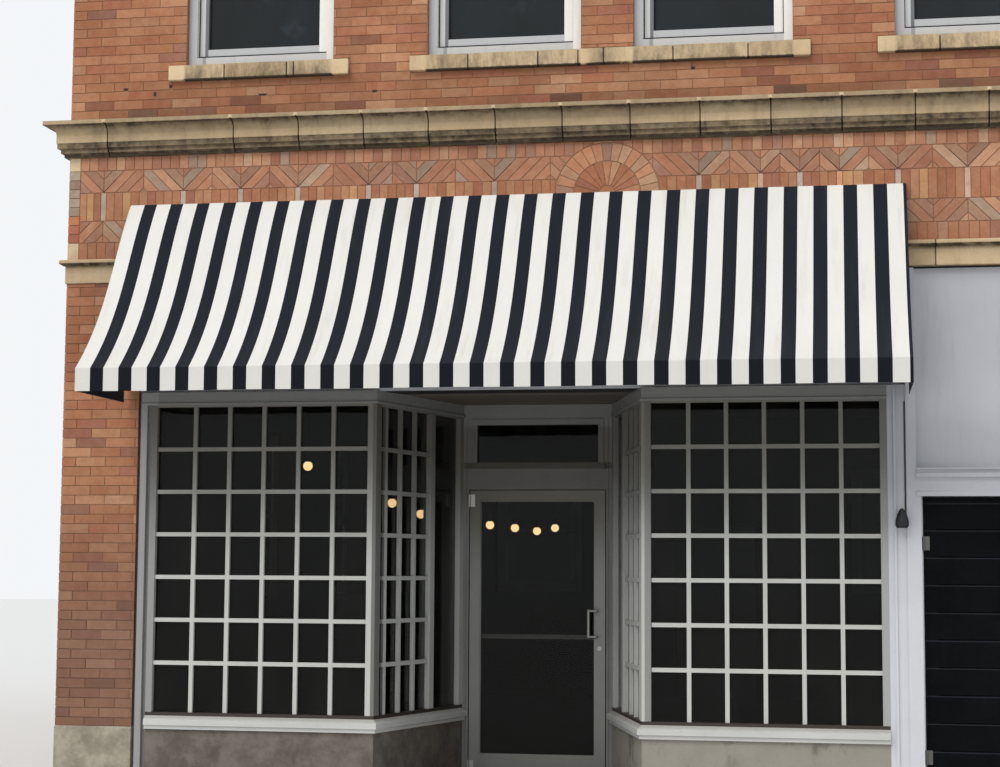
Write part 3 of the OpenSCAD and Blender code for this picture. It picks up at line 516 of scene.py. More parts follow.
class Shape:
    """Gathers closed pieces, each with a material number and a tint whose fourth value is soot and painted
    shade.
    """

    def __init__(self):
        self.v, self.f, self.m, self.t = [], [], [], []

    def add(self, verts, faces, mat=0, tint=(1, 1, 1, 0)):
        """The tint is one for all points, or a list with one for each."""
        n = len(self.v)
        self.v += verts
        self.f += [tuple(i + n for i in f) for f in faces]
        self.m += [mat] * len(faces)
        self.t += tint if isinstance(tint, list) else [tint] * len(verts)

    def make(self, name, mats, fix=False, smooth=None):
        me = bpy.data.meshes.new(name)
        me.from_pydata(self.v, [], self.f)
        me.polygons.foreach_set("material_index", np.array(self.m, np.int32))
        give_tint(me, self.t)
        if fix:
            bm = bmesh.new()
            bm.from_mesh(me)
            bmesh.ops.recalc_face_normals(bm, faces=bm.faces)
            bm.to_mesh(me)
            bm.free()
        for k in mats:
            me.materials.append(M[k])
        if smooth is not None:
            me.shade_smooth()
            me.set_sharp_from_angle(angle=math.radians(smooth))
        me.update()
        return linked(name, me)


def give_tint(me, tints):
    """Gives each point its tint and its soot and painted shade, which the materials read."""
    at = me.color_attributes.new("tint", "FLOAT_COLOR", "POINT")
    at.data.foreach_set("color", np.array(tints, np.float32).ravel())


def linked(name, data):
    ob = bpy.data.objects.new(name, data)
    SCENE.collection.objects.link(ob)
    return ob


def settle(ob, slot, *nodes):
    """Hangs a finished piece on the building, with the nodes that it stands for; slot is not used."""
    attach(ob, "building")
    if nodes:
        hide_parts(*nodes)
    return ob


def skin(rings, n, inward=False):
    """Faces of a closed sweep of rings of n points: its two ends, and the bands between its rings."""
    ends = [tuple(range(n - 1, -1, -1)), tuple(range((rings - 1) * n, rings * n))]
    sides = [(k + i, k + (i + 1) % n, k + n + (i + 1) % n, k + n + i)
             for k in range(0, (rings - 1) * n, n) for i in range(n)]
    if inward:
        return [f[::-1] for f in ends] + [(a, d, c, b) for a, b, c, d in sides]
    return ends + sides


def area(poly):
    return 0.5 * sum(a[0] * b[1] - b[0] * a[1] for a, b in zip(poly, poly[1:] + poly[:1]))


def clip(poly, nx, ny, d):
    """Part of a convex polygon where nx*u + ny*v >= d."""
    out = []
    for a, b in zip(poly, poly[1:] + poly[:1]):
        sa, sb = nx * a[0] + ny * a[1] - d, nx * b[0] + ny * b[1] - d
        if sa >= 0:
            out.append(a)
        if (sa > 0) != (sb > 0) and abs(sa - sb) > 1e-12:
            t = sa / (sa - sb)
            out.append((a[0] + (b[0] - a[0]) * t, a[1] + (b[1] - a[1]) * t))
    clean = []
    for p in out:
        if not clean or math.dist(p, clean[-1]) > 1e-5:
            clean.append(p)
    if len(clean) > 1 and math.dist(clean[0], clean[-1]) < 1e-5:
        clean.pop()
    return clean


def along(a, b):
    return Vector((b[0] - a[0], b[1] - a[1])).normalized()


def offset(poly, d):
    """A counter-clockwise polygon moved in by d."""
    out = []
    for p0, p1, p2 in zip(poly[-1:] + poly[:-1], poly, poly[1:] + poly[:1]):
        a, b = along(p0, p1), along(p1, p2)
        na, nb = Vector((-a.y, a.x)), Vector((-b.y, b.x))
        k = 1.0 + na.dot(nb)
        s = (na + nb) / k if k > 0.15 else na
        out.append((p1[0] + s.x * d, p1[1] + s.y * d))
    return out


FACES = {
    "front": lambda u, v, w: street(u, -w, v),
    "left": lambda u, v, w: street(-HALF - w, -u, v),
    "rear": lambda u, v, w: street(-u, DEPTH + w, v),
    "party": lambda u, v, w: street(HALF + w, u, v),
}


def tablet(shape, face, poly, tint, proud, edge=ARRIS, deep=0.011):
    """One brick or stone: a closed prism with softened front edges."""
    if len(poly) < 3 or area(poly) < 1.2e-4:
        return
    inner = offset(poly, edge)
    if area(inner) < 0.4 * area(poly):
        edge *= 0.3
        inner = offset(poly, edge)
    rings = ((poly, proud - deep), (poly, proud - edge), (inner, proud))
    verts = [FACES[face](u, v, w) for ring, w in rings for u, v in ring]
    shape.add(verts, skin(3, len(poly)), 0, tint)


def rect(u0, u1, v0, v1):
    return [(u0, v0), (u1, v0), (u1, v1), (u0, v1)]


# Brickwork
FACE_TINTS = [((175, 123, 93), 5), ((169, 116, 86), 5), ((180, 131, 100), 3), ((165, 110, 83), 3),
              ((160, 106, 85), 1.2), ((152, 106, 87), 0.6), ((185, 139, 109), 1), ((144, 96, 75), 0.4)]
MIXED_TINTS = [((180, 130, 103), 5), ((174, 124, 98), 4), ((168, 118, 95), 3), ((164, 122, 104), 1.4),
               ((176, 148, 126), 0.9), ((190, 144, 115), 2), ((164, 136, 118), 0.7), ((192, 156, 130), 0.6)]
COMMON_TINTS = [((158, 96, 72), 4), ((148, 88, 66), 4), ((168, 106, 80), 3), ((134, 84, 66), 1.5),
                ((178, 120, 92), 1)]
ROW_A_TINTS = [((168, 117, 91), 3), ((173, 122, 94), 2), ((156, 111, 92), 2), ((182, 138, 111), 1)]
ROW_C_TINTS = FACE_TINTS[:5] + [((190, 144, 106), 2)]
THIN_TINTS = [((206, 172, 150), 2), ((184, 164, 148), 1.5), ((204, 150, 120), 1)]
TIP_TINTS = [((172, 134, 110), 3), ((162, 122, 100), 3), ((160, 136, 118), 1)]
FAN_TINTS = [((184, 144, 116), 3), ((190, 138, 106), 2), ((164, 128, 108), 2)]
STACK_LOW = [((190, 124, 92), 1), ((172, 108, 84), 1)]
STACK_HIGH = [((160, 138, 122), 2), ((146, 120, 106), 2), ((172, 154, 138), 1)]
PALE = (*srgb(216, 192, 158), 0.05)
CHIP_SHADE = (0.035, 0.026, 0.021, 0.6)
OPEN_JOINT_SHADE = (0.040, 0.030, 0.025, 0.3)
STEP = BRICK_L + JOINT
GROW = 0.003
MIN_COURSE, MIN_BRICK, MIN_PIECE = 0.016, 0.014, 0.012
SHIFT, PUSHED_IN = 0.0015, 0.0011


def choose(rows):
    """One of the rows' values, by the rows' weights; rng is the generator of the piece being made."""
    return rng.choices([r[0] for r in rows], [r[1] for r in rows])[0]


def tint_of(tints, soot=0.0):
    colour = choose(tints)
    k = rng.uniform(0.96, 1.04)
    return (*srgb(*[min(255, c * k) for c in colour]), max(0.0, min(1.0, soot * rng.uniform(0.5, 1.5))))


def subtract(rects, hole):
    h0, h1, g0, g1 = hole
    out = []
    for u0, u1, v0, v1 in rects:
        if h0 >= u1 or h1 <= u0 or g0 >= v1 or g1 <= v0:
            out.append((u0, u1, v0, v1))
            continue
        parts = [(u0, min(u1, h0), v0, v1), (max(u0, h1), u1, v0, v1),
                 (max(u0, h0), min(u1, h1), v0, g0), (max(u0, h0), min(u1, h1), g1, v1)]
        out += [p for p in parts if p[1] - p[0] > MIN_PIECE and p[3] - p[2] > MIN_PIECE]
    return out


def courses(z0, z1):
    k = math.floor((z0 - COURSE_Z) / COURSE + 1e-6)
    while COURSE_Z + k * COURSE < z1 - 1e-6:
        low = max(z0, COURSE_Z + k * COURSE)
        high = min(z1, COURSE_Z + (k + 1) * COURSE)
        if high - low > MIN_COURSE:
            yield k, low + JOINT / 2, high - JOINT / 2
        k += 1


def lay(shape, face, u0, u1, z0, z1, holes, tints, start=0.0, ends=(True, True), soot=None, edge=0.0):
    """Running bond between u0 and u1; start is where a whole brick of an even course would begin.
    An end that is True has its corner bricks laid apart, a brick or a header long by course."""
    for k, low, high in courses(z0, z1):
        last = (BRICK_HEAD if k % 2 else BRICK_L) + JOINT
        a, b = u0 + last * ends[0], u1 - last * ends[1]
        phase = start + (BRICK_HEAD + JOINT if k % 2 else 0.0)
        n = math.floor((a - phase) / STEP)
        while phase + n * STEP < b - 1e-6:
            left = phase + n * STEP + rng.uniform(-SHIFT, SHIFT)
            n += 1
            rects = [(max(a, left), min(b, left + STEP - HEAD_JOINT), low, high)]
            if rects[0][1] - rects[0][0] < MIN_BRICK:
                continue
            for hole in holes:
                rects = subtract(rects, hole)
            tint = tint_of(tints, soot(left + BRICK_L / 2, (low + high) / 2) if soot else 0.0)
            for r in rects:
                tablet(shape, face, rect(*r), tint, -rng.uniform(0.0, PUSHED_IN), edge)


def corner(shape, x_side, y_side, z0, z1):
    """Bricks that turn a corner, seen on both faces, with their arris softened."""
    x0, ys, e = HALF * x_side, DEPTH if y_side > 0 else 0.0, 0.0012
    for k, low, high in courses(z0, z1):
        lx, ly = (BRICK_HEAD, BRICK_L) if k % 2 else (BRICK_L, BRICK_HEAD)
        x1, y1 = x0 - x_side * lx, ys - y_side * ly
        plan = [(x0, ys - y_side * e), (x0 - x_side * e, ys), (x1, ys), (x1, y1), (x0, y1)]
        faces = skin(2, len(plan), True)
        if x_side * y_side < 0:
            faces = [f[::-1] for f in faces]
        shape.add([street(x, y, z) for z in (low, high) for x, y in plan], faces, 0, tint_of(FACE_TINTS))


def window_holes(face):
    """Openings, sills and lintels."""
    out = []
    for c, (w, z, h) in WINDOWS[face]:
        for half, low, high in ((w, z, z + h), (SILL[0], z - SILL[1], z), (SILL[0], z + h, z + h + LINTEL_H)):
            out.append((c - half - GROW, c + half + GROW, low - GROW, high + GROW))
    return out


def wall_core(node, name):
    """The node's own shape, with its outer faces set back to the depth of the joints and its inner ones
    plastered."""
    me = NODES[node].data.copy()
    me.name = name
    half = (HALF, DEPTH / 2)
    for v in me.vertices:
        for axis in (0, 1):
            for side in (-1, 1):
                if abs(v.co[axis] - side * half[axis]) < 1e-5:
                    v.co[axis] -= side * SET_BACK
    me.materials.clear()
    for key in ("mortar", "plaster"):
        me.materials.append(M[key])
    for p in me.polygons:
        p.material_index = int(all(abs(p.center[axis]) < half[axis] - WALL + 0.002 for axis in (0, 1)))
    settle(linked(name, me), "brick", node)


for n in ("left_wall", "party_wall", "rear_wall", "front_upper_wall", "frieze", "left_pier", "right_pier"):
    wall_core(n, n + "_mortar")


def return_holes(u_band, u_base):
    """Where the belt, the cornice and a pier base reach round a corner."""
    bands = [(*u_band, z[0] - GROW, z[1] + GROW) for z in (BELT, CORNICE)]
    return bands + [(*u_base, -1.0, PIER_BASE + GROW)]


MIDDLE_SILL = (-1.372, 1.372, 4.992, 5.116)
STRIP_HOLE = (-0.106, 0.02, BELT[1], CORNICE[0])
REAR_DOOR, REAR_LINTEL = (-0.483, 0.483, -1.0, 2.103), (-0.593, 0.593, 2.097, 2.303)
FRONT_HOLES = window_holes("front") + [MIDDLE_SILL]
LEFT_HOLES = window_holes("left") + [STRIP_HOLE]
LEFT_HOLES += return_holes((-MOULD_END - GROW, 0.01), (-WALL - GROW, 0.01))
REAR_HOLES = window_holes("rear") + [REAR_DOOR, REAR_LINTEL]
PARTY_HOLES = return_holes((-0.01, WALL + GROW), (-0.01, WALL + GROW))

# Dark smears above the cornice: middle, half length and strength
SMEARS = [(-3.33, 0.16, 0.9), (-2.52, 0.10, 0.5), (-0.27, 0.12, 0.5), (0.48, 0.10, 0.6), (1.23, 0.16, 0.8),
          (2.38, 0.16, 0.6)]
# Broken corners of bricks: middle, width and height, and the outline in shares of these
CHIPS = [(-3.443, 4.953, 0.034, 0.018), (-3.226, 4.912, 0.020, 0.034), (-3.110, 4.963, 0.022, 0.026),
         (-2.433, 4.878, 0.060, 0.014), (0.583, 4.946, 0.028, 0.022), (-1.625, 4.872, 0.034, 0.018)]
CHIP_OUTLINE = [(-0.5, -0.3), (-0.1, -0.5), (0.4, -0.45), (0.5, 0.2), (0.15, 0.5), (-0.4, 0.4)]
FRONT_HOLES += [(x - w / 2, x + w / 2, z - h / 2, z + h / 2) for x, z, w, h in CHIPS]


def front_soot_and_shade(u, z):
    """Soot of a brick of the street front, above the cornice and under the windows, and painted shade in the
    band under the belt.
    """
    # The second term, just under the belt, is painted shade.
    total = max(0.0, 1.0 - abs(z - 4.74) / 0.10) * 0.35 + max(0.0, 1.0 - abs(z - 3.54) / 0.08) * 0.45
    for middle, half, strength in SMEARS:
        if abs(u - middle) < half and 4.70 < z < 4.80:
            total += strength
    if any(abs(u - c) < 0.8 and 4.72 < z < 5.0 for c in FRONT_X):
        total += 0.12
    return total


rng = random.Random(11)
front = Shape()
for u0, u1, z0, z1, ends in ((-HALF, -PIER_IN, PIER_BASE, BELT[0], (True, False)),
                             (PIER_IN, HALF, PIER_BASE, BELT[0], (False, True)),
                             (-HALF, HALF, CORNICE[1], PARAPET, (True, True))):
    holes = FRONT_HOLES if z1 == PARAPET else []
    lay(front, "front", u0, u1, z0, z1, holes, FACE_TINTS, u0, ends, front_soot_and_shade, ARRIS)
# Each broken corner is filled with a dark piece set back, painted shade of the hollow.
for x, z, w, h in CHIPS:
    chip = [(x + w * a, z + h * b) for a, b in CHIP_OUTLINE]
    tablet(front, "front", chip, CHIP_SHADE, -0.0035, 0.0006, 0.004)
for side in (-1, 1):
    corner(front, side, -1, PIER_BASE, BELT[0])
    corner(front, side, -1, CORNICE[1], PARAPET)

# Patterned band between the belt and the cornice
ROW_A, ROW_B, ROW_C = (3.7335, 3.852), (3.857, 4.006), (4.011, 4.209)
ROW_D, ROW_E = (4.214, 4.367), (4.372, 4.4635)
TIPS = [-3.59, -3.0, -2.58, -2.165, -1.66, -1.32, -0.775, 0.0, 0.62, 1.03, 1.29, 1.55, 1.93, 2.375, 2.98,
        3.42]
STRIP_END, BAND_END = -HALF + 0.083, HALF - 0.0005
STRIP_THIN, STRIP_BACK = 0.012, 0.10
FAN_Z, FAN_R, FAN_HUB = 4.10, 0.352, 0.228
SLANT_W = 0.0585 * math.sqrt(2)
SLANT_PITCH = SLANT_W + JOINT * math.sqrt(2)


def outside_fan(poly):
    """The part of a brick outside the half circle, whose middle is at x = 0."""
    cu, cv = sum(p[0] for p in poly) / len(poly), sum(p[1] for p in poly) / len(poly)
    if cv < FAN_Z - 0.004 and max(p[1] for p in poly) < FAN_Z:
        return poly
    d, r = math.hypot(cu, cv - FAN_Z), FAN_R + JOINT
    if d < 1e-6 or max(math.hypot(p[0], p[1] - FAN_Z) for p in poly) < r:
        return []
    nx, ny = cu / d, (cv - FAN_Z) / d
    return clip(poly, nx, ny, ny * FAN_Z + r)


def band_brick(poly, tint):
    if any(abs(p[0]) < FAN_R + 0.2 for p in poly):
        heights = [p[1] for p in poly]
        if min(heights) < FAN_Z < max(heights) and abs(sum(p[0] for p in poly) / len(poly)) < FAN_R:
            poly = clip(poly, 0, -1, -(FAN_Z - JOINT))
        else:
            poly = outside_fan(poly)
    if len(poly) >= 3:
        tablet(front, "front", poly, tint, -rng.uniform(0.0, PUSHED_IN))


def upright_row(row, pitch, tints, thin=()):
    """Bricks on end along the band, with a thin pale one at each place in thin."""
    marks = [STRIP_END, *thin, BAND_END]
    for a, b in zip(marks, marks[1:]):
        a2, b2 = a + 0.020 * (a in thin), b - 0.020 * (b in thin)
        n = max(1, round((b2 - a2) / pitch))
        w = (b2 - a2) / n
        for i in range(n):
            x = a2 + i * w
            band_brick(rect(x + JOINT / 2, x + w - JOINT / 2, *row), tint_of(tints))
        if b in thin:
            pale = tint_of(THIN_TINTS)
            band_brick(rect(b - 0.018, b + 0.018, *row), pale)


def open_joint(a, b, wide=0.0046):
    """A joint that has lost its mortar, as a dark strip lying between its bricks, painted shade of the open
    joint.
    """
    way = along(a, b)
    n = Vector((-way.y, way.x)) * wide / 2
    poly = [(p[0] + s * n.x, p[1] + s * n.y) for p, s in ((a, -1), (b, -1), (b, 1), (a, 1))]
    tablet(front, "front", poly, OPEN_JOINT_SHADE, -0.0022, 0.0004, 0.004)


def slanted(row, u0, u1, rising, tip_low):
    """45 degree bricks between u0 and u1, packed from the tip of the V at the low or high end."""
    s = 1 if rising else -1
    tip_u, side = (u0, 1) if rising == tip_low else (u1, -1)
    tip_v = row[0] if tip_low else row[1]
    for n in range(-6, 12):
        d0 = n * SLANT_PITCH + JOINT * 0.35
        low, high = row[0] - 0.01, row[1] + 0.01
        quad = [(tip_u + side * d + s * (v - tip_v), v)
                for d, v in ((d0, low), (d0 + SLANT_W, low), (d0 + SLANT_W, high), (d0, high))]
        if area(quad) < 0:
            quad = quad[::-1]
        for args in ((1, 0, u0 + JOINT / 2), (-1, 0, JOINT / 2 - u1), (0, 1, row[0]), (0, -1, -row[1])):
            quad = clip(quad, *args)
        if len(quad) >= 3 and area(quad) > 2.5e-4:
            band_brick(quad, tint_of(TIP_TINTS, 0.12) if n == -1 else tint_of(MIXED_TINTS))


upright_row(ROW_E, 0.0667, MIXED_TINTS)
upright_row(ROW_A, 0.0667, ROW_A_TINTS)
upright_row(ROW_C, 0.0620, ROW_C_TINTS, TIPS)
edges = [STRIP_END] + TIPS + [BAND_END]
for a, b in zip(edges, edges[1:]):
    if a == STRIP_END:
        halves = [(a, b, False)]
    elif b == BAND_END:
        halves = [(a, b, True)]
    else:
        halves = [(a, (a + b) / 2, True), ((a + b) / 2, b, False)]
    for row, tip_low in ((ROW_D, True), (ROW_B, False)):
        for u0, u1, rising in halves:
            slanted(row, u0, u1, rising == tip_low, tip_low)
for t in TIPS:
    foot, joint = ROW_D[0] + 0.004, ROW_D[0] - JOINT / 2
    for side in (-1, 1):
        reach = rng.uniform(0.06, 0.135)
        open_joint((t + side * 0.0022, foot), (t + side * (reach - 0.0018), foot + reach - 0.004))
        open_joint((t + side * 0.002, joint), (t + side * rng.uniform(0.02, 0.08), joint))

# Rings of the half circle: inner and outer radius, number of bricks and their tints
RINGS = [(FAN_HUB + 0.004, FAN_R, 15, FAN_TINTS), (0.062, FAN_HUB - 0.003, 11, FACE_TINTS),
         (0.0, 0.056, 1, FACE_TINTS)]
for r0, r1, count, tints in RINGS:
    for i in range(count):
        a0, a1 = math.pi * i / count, math.pi * (i + 1) / count
        steps = 8 if count == 1 else 2
        around = [(r1, a0 + (a1 - a0) * k / steps) for k in range(steps + 1)]
        around += [(r0, a1), (r0, a0)] if r0 > 0 else []
        poly = [(r * math.cos(a), FAN_Z + r * math.sin(a)) for r, a in around]
        if count > 1:
            for a, sgn in ((a0, 1), (a1, -1)):
                nx, ny = -math.sin(a) * sgn, math.cos(a) * sgn
                poly = clip(poly, nx, ny, ny * FAN_Z + JOINT / 2)
        if len(poly) >= 3:
            tablet(front, "front", poly, tint_of(tints), -rng.uniform(0, 0.001))


def strip_stone(z0, z1, tint):
    """A stone of the band's corner strip, which turns the corner in a thin L."""
    x1, x2 = STRIP_END - JOINT / 2, -HALF + STRIP_THIN
    plan = [(-HALF, 0.0), (x1, 0.0), (x1, STRIP_THIN)]
    plan += [(x2, STRIP_THIN), (x2, STRIP_BACK), (-HALF, STRIP_BACK)]
    front.add([street(x, y, z) for z in (z0, z1) for x, y in plan], skin(2, len(plan)), 0, tint)


# Corner strip of the band: pale stones above and below stacked headers
strip_stone(*ROW_E, PALE)
strip_stone(*ROW_A, PALE)
STACK = 8
pitch = (ROW_D[1] + JOINT - ROW_B[0]) / STACK
for i in range(STACK):
    z0 = ROW_B[0] + i * pitch
    strip_stone(z0, z0 + pitch - JOINT, tint_of(STACK_LOW if i < 3 else STACK_HIGH))
settle(front.make("bricks_front", ["brick"]), "brick")

for seed, face, u0, u1, holes, tints, start, key in (
        (12, "left", -DEPTH, 0.0, LEFT_HOLES, FACE_TINTS, 0.0, "brick"),
        (13, "rear", -HALF, HALF, REAR_HOLES, FACE_TINTS, -HALF, "brick"),
        (14, "party", 0.0, DEPTH, PARTY_HOLES, COMMON_TINTS, 0.0, "common")):
    rng = random.Random(seed)
    wall = Shape()
    lay(wall, face, u0, u1, 0.0, PARAPET, holes, tints, start)
    if face == "rear":
        corner(wall, -1, 1, 0.0, PARAPET)
        corner(wall, 1, 1, 0.0, PARAPET)
    settle(wall.make("bricks_" + face, [key]), "brick")


# Stone mouldings in blocks
STONE_TONES = [((1.0, 0.98, 0.94), 4), ((0.94, 0.90, 0.84), 3), ((1.05, 1.02, 0.95), 2),
               ((0.88, 0.84, 0.78), 1)]
CORE_TINT = (0.8, 0.78, 0.7, 0.3)
DAB_TINT = (1.12, 1.10, 1.08, 0.0)
DAB = [(-0.017, -0.024), (0.013, -0.022), (0.011, -0.002), (-0.014, -0.001)]
GAP, GROOVE, SOFT = 0.009, 0.010, 0.0015
COVE_SOOT_AND_SHADE = (0.18, 0.26, 0.38, 0.53, 0.70, 0.84, 0.95, 1.0)


def arc(a0, a1, n):
    return [a0 + (a1 - a0) * i / n for i in range(n + 1)]


# Shares of the reach and of the height, and soot: three steps, a clean fascia, a black cove and a fillet.
# The soot on the steps and in the cove is partly painted shade.
CORNICE_SHAPE = [(0.2, 0.0, 1.2), (0.2, 0.05, 1.1), (0.2, 0.11, 0.9), (0.33, 0.11, 0.7), (0.33, 0.135, 0.74),
                 (0.33, 0.222, 0.86), (0.33, 0.24, 0.75), (0.465, 0.243, 0.66), (0.465, 0.265, 0.78),
                 (0.465, 0.365, 0.82), (0.465, 0.385, 0.62), (0.5, 0.388, 0.6), (0.5, 0.405, 0.0),
                 (0.5, 0.595, 0.06), (0.5, 0.62, 0.25)]
CORNICE_SHAPE += [(0.5 + 0.42 * (1 - math.cos(a)), 0.62 + 0.26 * math.sin(a), soot)
                  for soot, a in zip(COVE_SOOT_AND_SHADE, arc(0.0, math.pi / 2, 7))]
CORNICE_SHAPE += [(1.0, 0.88, 0.9), (1.0, 0.90, 0.35), (1.0, 1.0, 0.3)]
# Belt: the dark under the overhang of its top is partly painted shade.
BELT_SHAPE = [(0.2, 0.0, 0.5), (0.2, 0.05, 0.05), (0.2, 0.62, 0.12), (0.2, 0.72, 0.6), (0.55, 0.76, 1.0),
              (1.0, 0.84, 0.9), (1.0, 0.87, 0.15), (1.0, 0.96, 0.0), (0.8, 1.0, 0.0)]


def blocks(shape, section, z, stations, back=-0.012):
    """A section swept along stations, with open joints between blocks. A station is a placing function,
    how far its outline is drawn in, whether a new block begins there, and its share of the soot, which
    also carries the painted shade of the section."""
    outline, soot = [(p, q) for p, q, _ in section], [s for _, _, s in section]
    if back is not None:
        outline = [(back, 0.0)] + outline + [(back, max(q for _, q in outline))]
        soot = [0.5] + soot + [0.1]
    verts, tints, tone = [], [], None
    for place, inset, new, share in stations:
        if new or tone is None:
            k = rng.uniform(0.95, 1.05)
            tone = [c * k for c in choose(STONE_TONES)]
        dark = 0.35 if inset > 0.003 else 1.0
        verts += [place(p, z + q) for p, q in (offset(outline, inset) if inset else outline)]
        tints += [(*[c * dark for c in tone], s * share * rng.uniform(0.92, 1.06)) for s in soot]
    shape.add(verts, skin(len(stations), len(outline), True), 0, tints)


def front_place(x):
    return lambda p, z: street(x, -p, z)


def side_place(y):
    return lambda p, z: street(-HALF - p, y, z)


def corner_place(p, z):
    return street(-HALF - p, -p, z)


def joint_run(marks, place, direction=1):
    """Stations on both sides of each joint, in order."""
    g, e = GAP / 2 * direction, 0.003 * direction
    rows = ((-g - e, 0.0, False, 1.0), (-g, SOFT, False, 1.3), (-g, GROOVE, False, 1.5),
            (g, GROOVE, False, 1.5), (g, SOFT, True, 1.3), (g + e, 0.0, False, 1.0))
    return [(place(m + at), *row) for m in marks for at, *row in rows]


def moulding(name, node, points, out, z, h, marks, side_mark, dabs=False):
    """A moulding in blocks that turns the left corner; dabs are pale touches of mortar on its joints."""
    shape = Shape()
    stations = [(front_place(HALF), 0.0, True, 1.0), *joint_run(sorted(marks, reverse=True), front_place, -1),
                (corner_place, 0.0, False, 1.0), *joint_run([side_mark], side_place),
                (side_place(MOULD_END), 0.0, False, 1.0)]
    blocks(shape, [(p * out, q * h, s) for p, q, s in points], z, stations)
    for m in marks if dabs else ():
        tablet(shape, "front", [(m + u, z + h + v) for u, v in DAB], DAB_TINT, out + 0.0016, 0.001, 0.006)
    plan = rect(-HALF + SET_BACK, HALF - SET_BACK, SET_BACK, WALL)
    verts = [street(x, y, v) for v in (z + 0.0005, z + h - 0.0005) for x, y in plan]
    shape.add(verts, skin(2, len(plan)), 0, CORE_TINT)
    settle(shape.make(name, ["stone"], fix=True), "stone", node)


rng = random.Random(21)
CORNICE_MARKS = [-3.544, -2.617, -2.147, -1.683, -1.225, -0.758, -0.297, 0.165, 0.635, 1.105, 1.57, 2.045,
                 2.515, 2.99, 3.46]
BELT_MARKS = [-3.34 + 0.4585 * i for i in range(16)]
moulding("cornice_stones", "cornice", CORNICE_SHAPE, 0.150, CORNICE[0], 0.243, CORNICE_MARKS, 0.30, True)
moulding("belt_stones", "lower_belt", BELT_SHAPE, 0.045, BELT[0], 0.166, BELT_MARKS, 0.28)


def sill_run(shape, windows, marks):
    """A stone sill in blocks, from the drip edge to the window, sooty where a window drains on it, and with
    painted shade on its underside and the foot of its nose.
    """
    out, h, fall = 0.040, SILL[1], 0.012
    # The last number of a point is its soot; the high values on the underside and at the foot of the nose are
    # painted shade.
    section = [(-0.15, 0.0, 2.4), (out - 0.003, 0.0, 2.4), (out, 0.004, 1.8), (out, 0.010, 0.42),
               (out, h - fall, 0.30), (-0.045, h, 0.3), (-0.15, h, 0.3)]
    x0, x1 = windows[0] - SILL[0], windows[-1] + SILL[0]
    plain = [(x0, SOFT, True, 0.3), (x0 + 0.003, 0.0, False, 0.1), (x1 - 0.003, 0.0, False, 0.1),
             (x1, SOFT, False, 0.3)]
    for c in windows:
        for past, share in ((0.01, 0.06), (-0.01, 1.0)):
            for e in (c - WINDOW[0] - past, c + WINDOW[0] + past):
                if all(abs(e - m) > 0.02 for m in marks):
                    plain.append((e, 0.0, False, share))
    groups = [(x, [(front_place(x), *rest)]) for x, *rest in plain]
    groups += [(m, joint_run([m], front_place)) for m in marks]
    run = [s for _, group in sorted(groups, key=lambda g: g[0]) for s in group]
    blocks(shape, section, WINDOW[1] - h, run, None)


rng = random.Random(22)
sills = Shape()
sill_run(sills, FRONT_X[:1], [-2.705, -2.251, -2.201])
sill_run(sills, FRONT_X[1:3], [-0.958, -0.471, -0.195, -0.021, 0.452, 0.955])
sill_run(sills, FRONT_X[3:], [2.211, 2.70])
settle(sills.make("front_sill_stones", ["sill_stone"], fix=True), "stone", "front_sills")

# Rubber seals of the windows: how far inside the opening, plane, width and depth. The black strips also
# stand for the shaded gaps beside the sash and the glass, partly painted shade.
SASH_SEAL, GLASS_SEAL = (0.0602, -0.0952, 0.007, 0.004), (0.1272, -0.1292, 0.010, 0.006)
SASH_FOOT, GLASS_FOOT, GLASS_HEAD, MEETING = 0.0720, 0.1282, 0.1272, 0.0252
SEAL_NAMES = {"front": "front_window_seals", "left": "side_window_seals", "rear": "rear_window_seals"}


def seal_ring(shape, face, c, half, v0, v1, seal):
    """A closed rectangular ring of rubber lying on a plane, with its outer front edge softened."""
    inside, w, wide, deep = seal
    u = half - inside
    outer, inner = rect(-u, u, v0, v1), rect(-u + wide, u - wide, v0 + wide, v1 - wide)
    soft = [(a * 0.9985, b + (0.001 if b == v0 else -0.001)) for a, b in outer]
    rings = ((outer, w), (outer, w + deep * 0.7), (soft, w + deep), (inner, w + deep), (inner, w))
    verts = [FACES[face](c + a, b, depth) for ring, depth in rings for a, b in ring]
    shape.add(verts, [(a + i, a + (i + 1) % 4, b + (i + 1) % 4, b + i)
                      for a, b in ((0, 4), (4, 8), (8, 12), (12, 16), (16, 0)) for i in range(4)])


for face, name in SEAL_NAMES.items():
    seals = Shape()
    for c, (half, z, h) in WINDOWS[face]:
        mid = z + h / 2
        seal_ring(seals, face, c, half, z + SASH_FOOT, mid - MEETING, SASH_SEAL)
        seal_ring(seals, face, c, half, z + GLASS_FOOT, mid - MEETING, GLASS_SEAL)
        seal_ring(seals, face, c, half, mid + MEETING, z + h - GLASS_HEAD, GLASS_SEAL)
    settle(seals.make(name, ["rubber"], fix=True), "window_white")


# Pendant lamps of the shop, seen through its glass: x, y from the street face, and the height of the bulb
LAMPS = [(-2.686, 2.2, 2.387), (-2.155, 2.9, 2.114), (-1.997, 3.3, 2.034), (-1.602, 4.4, 1.967),
         (-1.459, 4.9, 1.951), (-1.332, 5.4, 1.933), (-1.234, 5.9, 1.973)]
BULB_R = 0.038
# Radius, and height above the bulb's middle or below the ceiling
SOCKET = [(0.0, 0.100), (0.009, 0.099), (0.015, 0.090), (0.019, 0.076), (0.019, 0.034), (0.016, 0.031),
          (0.0, 0.031)]
ROSE = [(0.0, 0.0), (0.050, 0.0), (0.050, 0.006), (0.034, 0.020), (0.008, 0.026), (0.0045, 0.030)]


